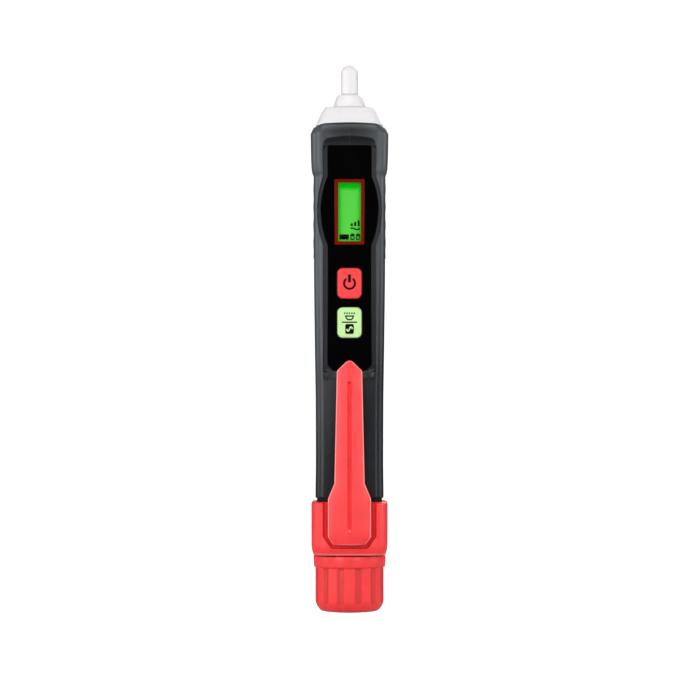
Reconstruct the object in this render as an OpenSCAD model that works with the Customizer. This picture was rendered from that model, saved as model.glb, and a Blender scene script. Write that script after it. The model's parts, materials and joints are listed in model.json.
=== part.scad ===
// Pen-shaped non contact voltage tester.
// +Z runs along the pen to the sensing tip, the display faces -Y, and the
// origin is the centre of the battery cap's flat foot.

/* [Overall] */
// Length from the cap's foot to the end of the sensing tip
pen_l = 160; // [157:0.5:163]
// Width of the head, the widest part of the casing
head_w = 22.6; // [22.2:0.1:23.2]
// Width of the casing just above the collar
waist_w = 19.5; // [19.3:0.1:19.9]
// Wall thickness of the casing shells
wall = 1.6; // [1.4:0.1:1.7]

/* [Display and buttons] */
// Width of the straight part of the fascia
fascia_w = 12.85; // [12.6:0.05:13.1]
// How far each side of the fascia swells beside the display
fascia_swell = 2.05; // [1.6:0.05:2.2]
// Width of the display frame
frame_w = 8.4; // [8.1:0.1:8.7]
// Height of the display frame
frame_h = 18.8; // [18.4:0.1:19.4]
// Width of a button
button_w = 7; // [6.6:0.1:7.2]
// Height of a button
button_h = 8.8; // [8.6:0.1:9.2]
// Travel of a button
button_travel = 0.4; // [0.3:0.05:0.4]

/* [Clip and collar] */
// Width of the clip collar
collar_w = 22.2; // [21.8:0.1:22.4]
// Width of the clip arm at its tip
clip_tip_w = 7.4; // [6.8:0.1:7.8]
// Width of the clip's foot pad
clip_pad_w = 12.5; // [11.8:0.1:12.9]
// Gap between the clip arm and the casing
clip_gap = 2.3; // [2:0.1:2.6]

/* [Battery cap] */
// Diameter of the cap's fluted barrel
cap_d = 20; // [19.6:0.1:20.2]
// Height of the cap
cap_h = 16.6; // [16.3:0.1:16.8]
// Number of flutes round the cap
flutes = 12; // [8:1:16]
// Advance of the cap for one turn of its two-start thread
thread_lead = 5; // [5:0.5:6]

/* [Hidden] */

$fn = 64;
corner_steps = 6;   // segments in a rounded corner of a lofted section
sweep_steps = 24;   // segments in one turn of a thread or spring

// Heights along the pen
collar_z0 = cap_h + 0.3;
collar_z1 = 32.5;
shell_z0 = 33.6;
recess_z0 = 67.7;
swell_z0 = 107;
swell_z1 = 127;
head_z = 133;
skirt_z = 138.8;             // foot of the nose's skirt, inside the shells
shell_z1 = 142.65;           // top of the casing on its centre line
shoulder_z = 147.5;
stem_z = 151.2;

// Crown of the casing's top edge
crown_z0 = 137;              // it fades in between these heights
crown_z1 = 140.5;
crown_bow = 0.0055;          // how steadily the edge falls from the centre line
crown_turn = 7;              // distance where it starts to fall faster
crown_drop = 0.07;           // and how much faster
crown_end = 9.85;            // distance where it stops

nose_skirt_w = head_w - 4.4;

// Depths in front of the pen's axis
front_d = 10.6;              // casing front beside the fascia
head_d = 11.1;               // casing front at the head
fascia_front = 9.6;
fascia_back = 8.65;
shell_inner = 7.7;           // inside of the front wall behind the fascia
board_front = 6.7;
board_back = 5.9;

// Fascia, display and buttons
swell_mid = (swell_z0 + swell_z1) / 2;
fascia_z0 = 70.6;
fascia_z1 = 136.1;
frame_mid = 116.75;
frame_rim = 0.92;
power_z = 96;
function_z = 84.6;
button_r = 1.5;
lcd_w = 9.2;
lcd_h = 23.6;

// Battery, tube and cap
cell_r = 5.2;
cell_l = 44.45;
cell_z = 6.6;
tube_bore = 5.35;
tube_r = 6.3;
tube_z1 = 97;
spigot_r = 7.85;
spigot_z0 = 5.25;
thread_h = 0.45;             // height of a thread ridge
thread_turn = 0.8;           // part of a turn that each ridge runs
cap_bore = 8.5;
seat_w = 17.2;               // width of the tube's square seat under the collar

// Clip
clip_pivot_z = 23;
clip_pivot_y = -10.15;
clip_back = waist_w / 2 + 0.25 + clip_gap;

// Screws: pairs at these heights
screw_x = 6.5;
screw_zs = [102.5, 133];

// Points of a quarter circle about [cx, cy], starting at angle a
function quarter(cx, cy, r, a) =
    [for (i = [0:corner_steps]) [cx + r * cos(a + 90 * i / corner_steps), cy + r * sin(a + 90 * i / corner_steps)]];

// Rounded rectangle section at height z: half width, depth in front and behind, corner radius
function section(z, hw, front, back, r) =
    [for (p = concat(quarter(hw - r, back - r, r, 0), [[0, back]], quarter(r - hw, back - r, r, 90),
                     quarter(r - hw, r - front, r, 180), [[0, -front]], quarter(hw - r, r - front, r, 270)))
        [p.x, p.y, z]];

// Fall of the casing's top edge at distance x from its centre line
function crown(x) =
    let (across = min(abs(x), crown_end))
    crown_bow * across * across + crown_drop * pow(max(across - crown_turn, 0), 2);

// Ring lowered by the crown, which fades in between the heights crown_z0 and crown_z1
function crowned(ring) =
    [for (p = ring) [p.x, p.y, p.z - crown(p.x) * min(max((p.z - crown_z0) / (crown_z1 - crown_z0), 0), 1)]];

// Closed solid through a list of rings with equal, even numbers of points.
// Each end is capped with strips that join point i to its mirror point n - 1 - i.
module skin(rings) {
    n = len(rings[0]);
    last = len(rings) - 1;
    polyhedron(
        points = [for (ring = rings) each ring],
        faces = concat(
            [for (i = [0:n / 2 - 2]) [i, i + 1, n - 2 - i, n - 1 - i]],
            [for (j = [0:last - 1], i = [0:n - 1], half = [0, 1])
                let (a = j * n + i, b = j * n + (i + 1) % n)
                half == 0 ? [a, a + n, b + n] : [a, b + n, b]],
            [for (i = [0:n / 2 - 2]) [for (k = [n - 1 - i, n - 2 - i, i + 1, i]) last * n + k]]));
}

// Box from low corner a to high corner b
module block(a, b) translate(a) cube(b - a);

// Cylinder along Y from y0 to y1
module rod_y(x, z, r, y0, y1) translate([x, y0, z]) rotate([-90, 0, 0]) cylinder(r = r, h = y1 - y0);

// Rounded plate in the XZ plane, centred on [x, z], from y0 to y1
module plate_y(x, z, w, h, r, y0, y1) {
    block([x - w / 2 + r, y0, z - h / 2], [x + w / 2 - r, y1, z + h / 2]);
    block([x - w / 2, y0, z - h / 2 + r], [x + w / 2, y1, z + h / 2 - r]);
    for (sx = [-1, 1], sz = [-1, 1]) rod_y(x + sx * (w / 2 - r), z + sz * (h / 2 - r), r, y0, y1);
}

// Helical ridge from radius r0 to r1, starting at height z and angle a
module helix_ridge(r0, r1, base, z, a) {
    steps = round(sweep_steps * thread_turn);
    skin([for (i = [0:steps])
        let (t = a + 360 * i / sweep_steps, h = z + thread_lead * i / sweep_steps,
             lo = min(r0, r1), lo_w = r0 < r1 ? base : base / 2, hi = max(r0, r1), hi_w = r0 < r1 ? base / 2 : base)
        [for (p = [[lo, -lo_w / 2], [lo, lo_w / 2], [hi, hi_w / 2], [hi, -hi_w / 2]])
            [p.x * cos(t), p.x * sin(t), h + p.y]]]);
}

// Casing ----------------------------------------------------------------

// Half width, front and back depth and corner radius up the casing, each grown by g
function casing_sections(g) = [
    section(shell_z0, waist_w / 2 - 0.1 + g, 9.9 + g, 9.9 + g, 2.6 + g),
    section(shell_z0 + 0.4, waist_w / 2 + 0.15 + g, 10 + g, 10.1 + g, 2.6 + g),
    section(44, waist_w / 2 + 0.05 + g, 10 + g, 10.1 + g, 2.6 + g),
    section(61, waist_w / 2 + 0.1 + g, 10.2 + g, 10.2 + g, 2.6 + g),
    section(76.5, waist_w / 2 + 0.32 + g, front_d + g, 10.4 + g, 2.6 + g),
    section(swell_z0 - 3, waist_w / 2 + 0.62 + g, front_d + g, 10.6 + g, 2.6 + g),
    section(swell_z1, waist_w / 2 + 0.65 + g, front_d + g, 10.6 + g, 2.6 + g),
    section(swell_z1 + 1.9, head_w / 2 - 0.3 + g, front_d + 0.3 + g, 10.9 + g, 2.9 + g),
    section(head_z, head_w / 2 - 0.1 + g, head_d + g, 11.1 + g, 3 + g),
    for (top = [[-2.25, 0, 0], [-1.4, 0.33, 0.2], [-0.8, 0.6, 0.42], [-0.25, 0.97, 0.7], [0, 1.45, 0.95]])
        crowned(section(shell_z1 + top[0], head_w / 2 - top[1] + g, head_d - top[2] + g, 11.1 - top[2] + g, 3 + g))];

// Inside of the casing: its sections as far as the head, then a straight mouth for the nose
module casing_cavity() {
    inner = casing_sections(-wall);
    mouth = nose_skirt_w / 2 + 0.1;
    intersection() {
        skin(concat([for (i = [0:8]) inner[i]],
                    [section(skirt_z - 1, head_w / 2 - wall, head_d - wall, 11.1 - wall, 1.4),
                     section(skirt_z - 0.5, mouth, mouth, mouth, 2),
                     section(shell_z1 + 1, mouth, mouth, mouth, 2)]));
        block([-20, -20, shell_z0 + 1.4], [20, 20, shell_z1 + 2]);
    }
    translate([0, 0, shell_z0 - 1]) cylinder(r = tube_r + 0.1, h = 4);
}

// Outline [x, z] of the fascia or of the recess round it, anticlockwise seen from the front
function panel_outline(w, swell, z0, cut, z1, r) =
    let (h = (swell_z1 - swell_z0) / 2, big = (h * h + swell * swell) / (2 * swell), a = asin(h / big),
         side = concat([[w - cut, z0], [w, z0 + cut]],
                       [for (i = [-4:4]) [w + swell - big + big * cos(a * i / 4), swell_mid + big * sin(a * i / 4)]],
                       quarter(w - r, z1 - r, r, 0)),
         n = len(side))
    concat(side, [for (i = [n - 1:-1:0]) [-side[i].x, side[i].y]]);

// Fascia outline grown by g, and the outline of the recess at the casing's surface
function fascia_outline(g) =
    panel_outline(fascia_w / 2 + g, fascia_swell, fascia_z0 - g, 1.95, fascia_z1 + g, 0.9);
function recess_outline() = panel_outline(fascia_w / 2 + 1.3, fascia_swell - 0.25, recess_z0, 0.6, 138.6, 2);

// Ring of an outline at depth y
function at_y(outline, y) = [for (p = outline) [p.x, y, p.y]];

// Prism of an outline from y0 to y1
module slab_y(outline, y0, y1) translate([0, y1, 0]) rotate([90, 0, 0]) linear_extrude(height = y1 - y0) polygon(outline);

module shell(side) {
    difference() {
        union() {
            difference() {
                skin(casing_sections(0));
                casing_cavity();
            }
            // screw bosses
            for (x = [-screw_x, screw_x], z = screw_zs) intersection() {
                skin(casing_sections(-0.5));
                union() {
                    rod_y(x, z, 1.75, -shell_inner - 0.5, 1);
                    rod_y(x, z, 2.7, 0, 10.4);
                }
            }
            // floor of the recess, behind the fascia
            if (side < 0) intersection() {
                skin(casing_sections(-0.5));
                block([-10, -fascia_front + 0.2, recess_z0 - 1], [10, -shell_inner, 138.8]);
            }
        }
        block(side < 0 ? [-20, -0.05, 0] : [-20, -20, 0], side < 0 ? [20, 20, 170] : [20, 0.05, 170]);
        for (x = [-screw_x, screw_x], z = screw_zs) {
            rod_y(x, z, 1.05, -shell_inner + 0.3, 11);
            rod_y(x, z, 2.1, 7.6, 12);
        }
        if (side < 0) {
            slab_y(fascia_outline(0.06), -front_d + 0.2, -fascia_back + 0.05);
            skin([at_y(fascia_outline(-0.3), -fascia_front + 0.3), at_y(recess_outline(), -front_d - 0.05),
                  at_y(recess_outline(), -front_d - 2)]);
            block([-lcd_w / 2 - 0.1, -12, frame_mid - lcd_h / 2 - 0.1],
                  [lcd_w / 2 + 0.1, -shell_inner + 0.1, frame_mid + lcd_h / 2 + 0.1]);
            for (z = [power_z, function_z])
                plate_y(0, z, button_w + 0.3, button_h + 0.3, button_r + 0.15, -12, -shell_inner + 0.1);
        }
        // slots for the side grips
        for (s = [-1, 1]) block([s * 11 - 1.9, -6.1, 103.1], [s * 11 + 1.9, 6.1, 128.1]);
        // sound holes over the buzzer
        if (side > 0) for (i = [0:5]) rod_y(2.2 * cos(60 * i), 118 + 2.2 * sin(60 * i), 0.55, 8, 12);
    }
}

module front_shell() color("#3d4144") shell(-1);

module rear_shell() color("#3d4144") shell(1);

// Ribbed pads let into the flanks
module side_grips() color("#2c2f31") {
    ribs = 4;
    for (s = [-1, 1]) {
        block([s * 9.825 - 0.625, -6, 103.2], [s * 9.825 + 0.625, 6, 128]);
        for (i = [0:ribs - 1]) intersection() {
            translate([s * 6.5, -6, 107.9 + 5.2 * i]) rotate([-90, 0, 0]) cylinder(r = 4.1, h = 12);
            block([s * 10.475 - 0.125, -6, 103.2], [s * 10.475 + 0.125, 6, 128]);
        }
    }
}

// Nose ------------------------------------------------------------------

module nose() color("#f0eef0", 0.6) difference() {
    union() {
        skin([crowned(section(shell_z1 + 0.05, head_w / 2 - 1.5, 10.1, 10.1, 3)),
              section(shoulder_z - 0.4, head_w / 2 - 4, 7.3, 7.3, 2.4),
              section(shoulder_z, head_w / 2 - 4.5, 6.8, 6.8, 2.4)]);
        skin([section(skirt_z, nose_skirt_w / 2, nose_skirt_w / 2, nose_skirt_w / 2, 1.9),
              section(shell_z1 + 0.5, nose_skirt_w / 2, nose_skirt_w / 2, nose_skirt_w / 2, 1.9)]);
        translate([0, 0, shoulder_z - 0.2]) rotate_extrude() polygon([
            [0, 0], [4.8, 0], [4.75, 0.6], [3.75, stem_z - shoulder_z - 0.4], [3.3, stem_z - shoulder_z],
            [2.8, stem_z - shoulder_z + 0.2], [0, stem_z - shoulder_z + 0.2]]);
        translate([0, 0, stem_z - 0.5]) cylinder(r = 2.5, h = pen_l - 2.5 - stem_z + 0.5);
        translate([0, 0, pen_l - 2.5]) sphere(r = 2.5);
    }
    skin([section(skirt_z - 1, nose_skirt_w / 2 - 1.1, nose_skirt_w / 2 - 1.1, nose_skirt_w / 2 - 1.1, 1.4),
          section(shell_z1 + 0.5, nose_skirt_w / 2 - 1.1, nose_skirt_w / 2 - 1.1, nose_skirt_w / 2 - 1.1, 1.4),
          section(shoulder_z - 1.4, 5.4, 5.4, 5.4, 1.4)]);
    cylinder(r = 2.6, h = stem_z - 1.2);
    cylinder(r = 1.7, h = pen_l - 2.9);
}

// Sensing rod up the tip, with its lead to the board
module antenna() color("#b58a3c") {
    translate([0, 0, 137.4]) cylinder(r = 0.6, h = pen_l - 4.6 - 137.4);
    block([-0.4, -board_back + 0.02, 137.4], [0.4, 0, 138.2]);
}

// Round LED standing on the top edge of the board
module led(x, tint) color(tint) {
    translate([x, -4.3, 139.2]) cylinder(r = 1.75, h = 0.6);
    translate([x, -4.3, 139.2]) cylinder(r = 1.45, h = 3.4);
    translate([x, -4.3, 142.6]) sphere(r = 1.45);
    for (dx = [-0.6, 0.6]) block([x + dx - 0.2, -4.5, 136.6], [x + dx + 0.2, -4.1, 139.4]);
    for (dx = [-0.6, 0.6]) block([x + dx - 0.2, -board_back + 0.02, 136.6], [x + dx + 0.2, -4.1, 137]);
}

module torch_led() led(-3.8, "#f4f4ee");

module alarm_led() led(3.8, "#d83030");

// Display ---------------------------------------------------------------

module fascia() color("#060607") difference() {
    slab_y(fascia_outline(0), -fascia_front, -fascia_back);
    block([-frame_w / 2 - 0.05, -12, frame_mid - frame_h / 2 - 0.05],
          [frame_w / 2 + 0.05, -5, frame_mid + frame_h / 2 + 0.05]);
    for (z = [power_z, function_z])
        plate_y(0, z, button_w + 0.3, button_h + 0.3, button_r + 0.15, -12, -5);
}

module display_frame() color("#8e1c14") difference() {
    block([-frame_w / 2, -fascia_front - 0.1, frame_mid - frame_h / 2],
          [frame_w / 2, -fascia_back - 0.02, frame_mid + frame_h / 2]);
    block([-frame_w / 2 + frame_rim, -12, frame_mid - frame_h / 2 + frame_rim],
          [frame_w / 2 - frame_rim, -5, frame_mid + frame_h / 2 - frame_rim]);
}

module display_window() color("#c8f0c8", 0.35)
    block([-frame_w / 2 + frame_rim + 0.03, -fascia_front + 0.12, frame_mid - frame_h / 2 + frame_rim + 0.03],
          [frame_w / 2 - frame_rim - 0.03, -fascia_back - 0.25, frame_mid + frame_h / 2 - frame_rim - 0.03]);

module lcd() color("#44cc3c")
    block([-lcd_w / 2, -fascia_back + 0.07, frame_mid - lcd_h / 2], [lcd_w / 2, -7.5, frame_mid + lcd_h / 2]);

module backlight() color("#e8f4e4")
    block([-lcd_w / 2, -7.45, frame_mid - 9.6], [lcd_w / 2, -board_front - 0.04, frame_mid + 9.6]);

// Elastomer strips that join the glass to the board, above and below the backlight
module contact_strips() color("#d08a9a") for (z = [-10.7, 10.7])
    block([-lcd_w / 2, -7.45, frame_mid + z - 0.75], [lcd_w / 2, -board_front - 0.04, frame_mid + z + 0.75]);

// Electronics -----------------------------------------------------------

module circuit_board() color("#1d5c38") difference() {
    block([-7.2, -board_front, 77], [7.2, -board_back, 138.3]);
    for (x = [-screw_x, screw_x], z = screw_zs) rod_y(x, z, 2, -9, -3);
    rod_y(0, 131.5, 1, -9, -3);
}

module board_parts() color("#1a1a1c") {
    block([-3.5, -board_back + 0.02, 112], [3.5, -4.9, 119]);
    block([-3, -board_back + 0.02, 122], [1, -4.6, 126]);
    block([2.4, -board_back + 0.02, 122.5], [4.6, -4.7, 125.5]);
    block([-4.4, -board_back + 0.02, 105], [-2.2, -4.5, 108.5]);
    block([1.2, -board_back + 0.02, 105], [4.6, -4.9, 107]);
}

module buzzer() color("#26282b") {
    rod_y(0, 118, 5.6, 4.8, 7.4);
    rod_y(0, 118, 1.2, 4.3, 4.8);
}

module tact_switch(z) {
    color("#2b2b2d") block([-2.1, -board_front - 1.1, z - 2.1], [2.1, -board_front - 0.02, z + 2.1]);
    color("#c9c9c6") rod_y(0, z, 1, -board_front - 1.4, -board_front - 1.1);
}

module power_switch() tact_switch(power_z);

module function_switch() tact_switch(function_z);

// Key cap that is hollow behind, with a stem over its switch and a flange inside the shell
module button(z) {
    difference() {
        union() {
            plate_y(0, z, button_w, button_h, button_r, -fascia_front - 0.6, -shell_inner + 0.05);
            plate_y(0, z, button_w + 1, button_h + 0.9, button_r, -shell_inner + 0.05, -shell_inner + 0.4);
        }
        plate_y(0, z, button_w - 1.6, button_h - 1.6, 0.8, -9.35, -5);
    }
    rod_y(0, z, 0.9, -9.4, -board_front - 1.4 - button_travel - 0.05);
}

module power_button() color("#ff4a4c") button(power_z);

module function_button() color("#bdf09a") button(function_z);

// Battery and casing foot -----------------------------------------------

module battery_tube() color("#0d0e10") difference() {
    union() {
        translate([0, 0, spigot_z0]) cylinder(r = spigot_r, h = collar_z0 - spigot_z0);
        translate([0, 0, 13.7]) cylinder(r = 8.4, h = collar_z0 - 13.7);
        for (start = [0, 180]) helix_ridge(spigot_r - 0.3, spigot_r + thread_h, 0.9, 7, start);
        skin([section(collar_z0 - 0.2, seat_w / 2, seat_w / 2, seat_w / 2, 4),
              section(collar_z1 + 0.1, seat_w / 2, seat_w / 2, seat_w / 2, 4)]);
        skin([section(collar_z1 + 0.05, 9.45, 9.45, 9.45, 4), section(shell_z0 - 0.05, 9.45, 9.45, 9.45, 4)]);
        translate([0, 0, collar_z1]) cylinder(r = tube_r, h = tube_z1 - collar_z1);
    }
    cylinder(r = tube_bore, h = 200);
    // groove for the seal ring
    translate([0, 0, 14.4]) difference() {
        cylinder(r = 9, h = 1.2);
        cylinder(r = 7.75, h = 1.2);
    }
    // slot for the negative strip
    block([5, -1.2, 0], [5.95, 1.2, 200]);
    block([5, -1.2, 0], [7.4, 1.2, spigot_z0 + 0.3]);
    // flat in front, where the board passes, and the way in for the positive contact's tab
    block([-8, -9, 76], [8, -board_back + 0.05, 200]);
    block([-1.4, -9, cell_z + 2 * cell_l - 0.1], [1.4, -3, 200]);
}

module cell(z) {
    color("#b9bcc0") translate([0, 0, z]) cylinder(r = cell_r - 0.6, h = 0.4);
    color("#3a6ea5") translate([0, 0, z + 0.4]) cylinder(r = cell_r, h = cell_l - 1.9);
    color("#b9bcc0") translate([0, 0, z + cell_l - 1.5]) cylinder(r = 1.9, h = 1.5);
}

module cell_lower() cell(cell_z);

module cell_upper() cell(cell_z + cell_l + 0.05);

module positive_contact() color("#c8c4b4") {
    translate([0, 0, cell_z + 2 * cell_l + 0.1]) cylinder(r = 4.6, h = 0.4);
    block([-1.2, -board_back + 0.02, cell_z + 2 * cell_l + 0.1], [1.2, -3, cell_z + 2 * cell_l + 0.5]);
}

// Strip from the tube's foot up to the board
module negative_strip() color("#c8c4b4") {
    block([5.5, -1, spigot_z0], [5.8, 1, 99]);
    block([5.5, -1, spigot_z0 - 0.05], [7.2, 1, spigot_z0 + 0.2]);
    block([5.5, -board_back + 0.02, 97.6], [5.8, 1, 99]);
}

module case_screws() color("#8b8e92") for (x = [-screw_x, screw_x], z = screw_zs) {
    rod_y(x, z, 0.95, -6.4, 8);
    difference() {
        rod_y(x, z, 1.9, 7.65, 8.8);
        block([x - 1.2, 8.3, z - 0.22], [x + 1.2, 9, z + 0.22]);
        block([x - 0.22, 8.3, z - 1.2], [x + 0.22, 9, z + 1.2]);
    }
}

// Collar that the clip is moulded to
module clip_collar() color("#f2484a") difference() {
    hw = collar_w / 2;
    skin([section(collar_z0, hw - 0.65, hw - 0.65, hw - 0.65, 5),
          section(collar_z0 + 0.9, hw - 0.36, hw - 0.36, hw - 0.36, 5),
          section(collar_z0 + 1.8, hw - 0.15, hw - 0.15, hw - 0.15, 5),
          section(collar_z0 + 3, hw - 0.04, hw - 0.04, hw - 0.04, 5),
          section(27, hw, hw, hw, 5), section(collar_z1 - 0.8, hw, hw, hw, 5),
          section(collar_z1, hw - 1.2, hw - 1.2, hw - 1.2, 4.4)]);
    skin([section(collar_z0 - 1, seat_w / 2 + 0.08, seat_w / 2 + 0.08, seat_w / 2 + 0.08, 4),
          section(collar_z1 + 1, seat_w / 2 + 0.08, seat_w / 2 + 0.08, seat_w / 2 + 0.08, 4)]);
    // recess round the clip's foot
    translate([0, -10, 0]) rotate([90, 0, 0]) linear_extrude(height = 4)
        polygon([[-5.2, 19], [5.2, 19], [7.83, 22.5], [7.83, 40], [-7.83, 40], [-7.83, 22.5]]);
    // seat for the clip's root bead
    translate([-4.1, clip_pivot_y, clip_pivot_z]) rotate([0, 90, 0]) cylinder(r = 0.98, h = 8.2);
}

module pocket_clip() color("#ff5355") {
    tip = clip_tip_w / 2;
    pad = clip_pad_w / 2;
    difference() {
        intersection() {
            // front view
            translate([0, -5, 0]) rotate([90, 0, 0]) linear_extrude(height = 12) polygon([
                [0, 73.65], [-0.6, 73.4], [-tip + 0.3, 71.1], [-tip, 70.4], [-tip - 0.7, 38], [-pad, 33.6],
                [-pad, 22.4], [-pad + 1.7, 20], [pad - 1.7, 20], [pad, 22.4], [pad, 33.6],
                [tip + 0.7, 38], [tip, 70.4], [tip - 0.3, 71.1], [0.6, 73.4]]);
            // side view
            translate([-10, 0, 0]) rotate([90, 0, 90]) linear_extrude(height = 20) polygon([
                [-10.5, 19.8], [-10.5, 32.8], [-11.4, 35.5], [-clip_back, 37.5], [-clip_back, 60.5],
                [-10.9, 63.5], [-10.75, 65], [-10.9, 66.5], [-clip_back, 70.5], [-clip_back - 0.4, 74],
                [-clip_back - 1.7, 74], [-clip_back - 1.9, 36], [-clip_back - 1.5, 24], [-clip_back - 0.7, 19.8]]);
        }
        // groove down the front
        block([-0.45, -20, 24.5], [0.45, -clip_back - 1.35, 67.4]);
    }
    translate([-4, clip_pivot_y, clip_pivot_z]) rotate([0, 90, 0]) cylinder(r = 0.9, h = 8);
}

module seal_ring() color("#141414")
    translate([0, 0, 15]) rotate_extrude() translate([8.3, 0]) circle(r = 0.53);

module battery_cap() color("#f2484a") {
    r = cap_d / 2;
    difference() {
        rotate_extrude() polygon([[0, 0], [r - 5, 0], [r - 1.8, 0.42], [r - 1.15, 0.95], [r - 0.58, 1.75],
            [r - 0.14, 2.6], [r, 3.3], [r, 13.3], [r + 0.4, 13.6], [r + 0.6, cap_h - 0.3], [r + 0.4, cap_h],
            [8.95, cap_h], [8.95, 13.4], [0, 13.4]]);
        translate([0, 0, 4.9]) cylinder(r = cap_bore, h = 20);
        translate([0, 0, 1.8]) cylinder(r = 7.3, h = 20);
        for (i = [0:flutes - 1]) rotate([0, 0, 360 * (i + 0.5) / flutes])
            translate([r + 2.6, 0, -1]) cylinder(r = 3, h = 13.9);
    }
    for (start = [0, 180]) helix_ridge(cap_bore + 0.3, 8, 0.9, 7 + thread_lead / 4, start);
}

// Dish that joins the spring to the strip at the tube's foot
module cap_contact() color("#c8c4b4") difference() {
    translate([0, 0, 1.85]) cylinder(r = 7.2, h = spigot_z0 - 0.1 - 1.85);
    translate([0, 0, 2.2]) cylinder(r = 6.4, h = 5);
}

module battery_spring() color("#d5d5d0") {
    turns = 3;
    wire = 0.4;
    skin([for (i = [0:turns * sweep_steps])
        let (t = 360 * i / sweep_steps, z = 2.65 + i * (cell_z - 3.1) / (turns * sweep_steps),
             r = 3.9 - 1.3 * i / (turns * sweep_steps))
        [for (k = [0:5]) [(r - wire * cos(60 * k)) * cos(t), (r - wire * cos(60 * k)) * sin(t), z + wire * sin(60 * k)]]]);
}

front_shell();
rear_shell();
side_grips();
nose();
antenna();
torch_led();
alarm_led();
fascia();
display_frame();
display_window();
lcd();
backlight();
contact_strips();
circuit_board();
board_parts();
buzzer();
power_switch();
function_switch();
power_button();
function_button();
battery_tube();
cell_lower();
cell_upper();
positive_contact();
negative_strip();
case_screws();
clip_collar();
pocket_clip();
seal_ring();
battery_cap();
cap_contact();
battery_spring();
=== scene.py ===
"""Looks of the pen-shaped voltage tester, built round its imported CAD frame.

Shapes are worked out in millimetres in the frame's own axes: +Z up the pen to the
sensing tip, -Y out of the display. make_piece() turns them into metres.
"""
import json
import math

import bmesh
import bpy
import numpy as np
from mathutils import Matrix, Vector


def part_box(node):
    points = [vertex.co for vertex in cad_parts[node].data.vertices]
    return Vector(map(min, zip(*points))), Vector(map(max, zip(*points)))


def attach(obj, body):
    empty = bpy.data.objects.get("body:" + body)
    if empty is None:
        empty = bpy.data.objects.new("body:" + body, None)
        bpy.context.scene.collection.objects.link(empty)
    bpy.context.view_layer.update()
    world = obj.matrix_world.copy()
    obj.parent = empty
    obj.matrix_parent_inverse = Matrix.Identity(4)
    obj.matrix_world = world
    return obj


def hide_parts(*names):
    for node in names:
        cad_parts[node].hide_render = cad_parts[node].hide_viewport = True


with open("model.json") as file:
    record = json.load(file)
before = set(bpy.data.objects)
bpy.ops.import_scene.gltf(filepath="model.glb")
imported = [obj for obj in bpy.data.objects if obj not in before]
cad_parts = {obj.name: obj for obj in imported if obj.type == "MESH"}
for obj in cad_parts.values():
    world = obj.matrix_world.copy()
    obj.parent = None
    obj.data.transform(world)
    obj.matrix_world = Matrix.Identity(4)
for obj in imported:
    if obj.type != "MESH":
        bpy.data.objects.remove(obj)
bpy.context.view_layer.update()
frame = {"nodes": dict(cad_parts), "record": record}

MM = 0.001


# Sizes that the frame gives

def box(node):
    """Lowest and highest corner of a CAD node, in millimetres."""
    low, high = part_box(node)
    return np.array(low) / MM, np.array(high) / MM


shell_low, shell_high = box("front_shell")
fascia_low, fascia_high = box("fascia")
frame_low, frame_high = box("display_frame")
lcd_low, lcd_high = box("lcd")
power_low, power_high = box("power_button")
function_low, function_high = box("function_button")
grip_low, grip_high = box("side_grips")
collar_low, collar_high = box("clip_collar")
clip_low, clip_high = box("pocket_clip")
cap_high = box("battery_cap")[1]
nose_low, nose_high = box("nose")

# HW is a half width, D a distance in front of or behind the axis, and Z a height
WALL = 1.6
HEAD_HW = shell_high[0]
WAIST_HW = HEAD_HW - 1.55
FRONT_D = 10.6
HEAD_D = -shell_low[1]
SHELL_Z0, SHELL_Z1 = shell_low[2], shell_high[2]
HEAD_Z = 133
SWELL_Z0, SWELL_Z1 = 107, 127    # where the fascia widens beside the display
CROWN_Z0, CROWN_Z1 = 137, 140.5  # where the crown of the casing's top fades in
CROWN_BOW, CROWN_DROP = 0.0055, 0.07
CROWN_TURN, CROWN_END = 7, 9.85  # where the crown starts to drop, and where it ends
FASCIA_Z0, FASCIA_Z1 = fascia_low[2], fascia_high[2]
FASCIA_HW = 6.425
FASCIA_SWELL = fascia_high[0] - FASCIA_HW
FASCIA_FRONT, FASCIA_BACK = -fascia_low[1], -fascia_high[1]
RECESS_Z0, RECESS_Z1 = FASCIA_Z0 - 2.8, 138.3
POWER_Z = (power_low[2] + power_high[2]) / 2
FUNCTION_Z = (function_low[2] + function_high[2]) / 2
BUTTON_FRONT = -power_low[1]
BUTTON_W, BUTTON_H = power_high[0] - power_low[0] - 1, power_high[2] - power_low[2] - 0.9
FRAME_MID = (frame_low[2] + frame_high[2]) / 2
FRAME_HW = frame_high[0]
FRAME_HH = (frame_high[2] - frame_low[2]) / 2
FRAME_RIM = 0.92
SHELL_FLOOR = 7.7                # inside of the shell behind the fascia


# Curves and outlines

def smooth_through(z, keys):
    """Values at heights z on a smooth curve without overshoot through (height, value, ...) keys."""
    keys = np.array(keys, float)
    x, values = keys[:, 0], keys[:, 1:]
    slope = np.diff(values, axis=0) / np.diff(x)[:, None]
    same = slope[:-1] * slope[1:] > 0
    tangent = np.zeros_like(values)
    tangent[1:-1] = np.where(same, 2 * slope[:-1] * slope[1:] / np.where(same, slope[:-1] + slope[1:], 1), 0)
    tangent[0], tangent[-1] = slope[0], slope[-1]
    i = np.clip(np.searchsorted(x, z, side="right") - 1, 0, len(x) - 2)
    h = (x[i + 1] - x[i])[:, None]
    t = ((z - x[i])[:, None]) / h
    return (values[i] * (1 + 2 * t) * (1 - t) ** 2 + tangent[i] * h * t * (1 - t) ** 2
            + values[i + 1] * t * t * (3 - 2 * t) + tangent[i + 1] * h * t * t * (t - 1))


def steps(*spans):
    """Sorted values from (start, stop, step) spans and single numbers."""
    found = []
    for span in spans:
        if np.isscalar(span):
            found.append(float(span))
        else:
            start, stop, step = span
            found += list(np.linspace(start, stop, max(1, round((stop - start) / step)) + 1))
    return np.unique(np.round(found, 4))


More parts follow.
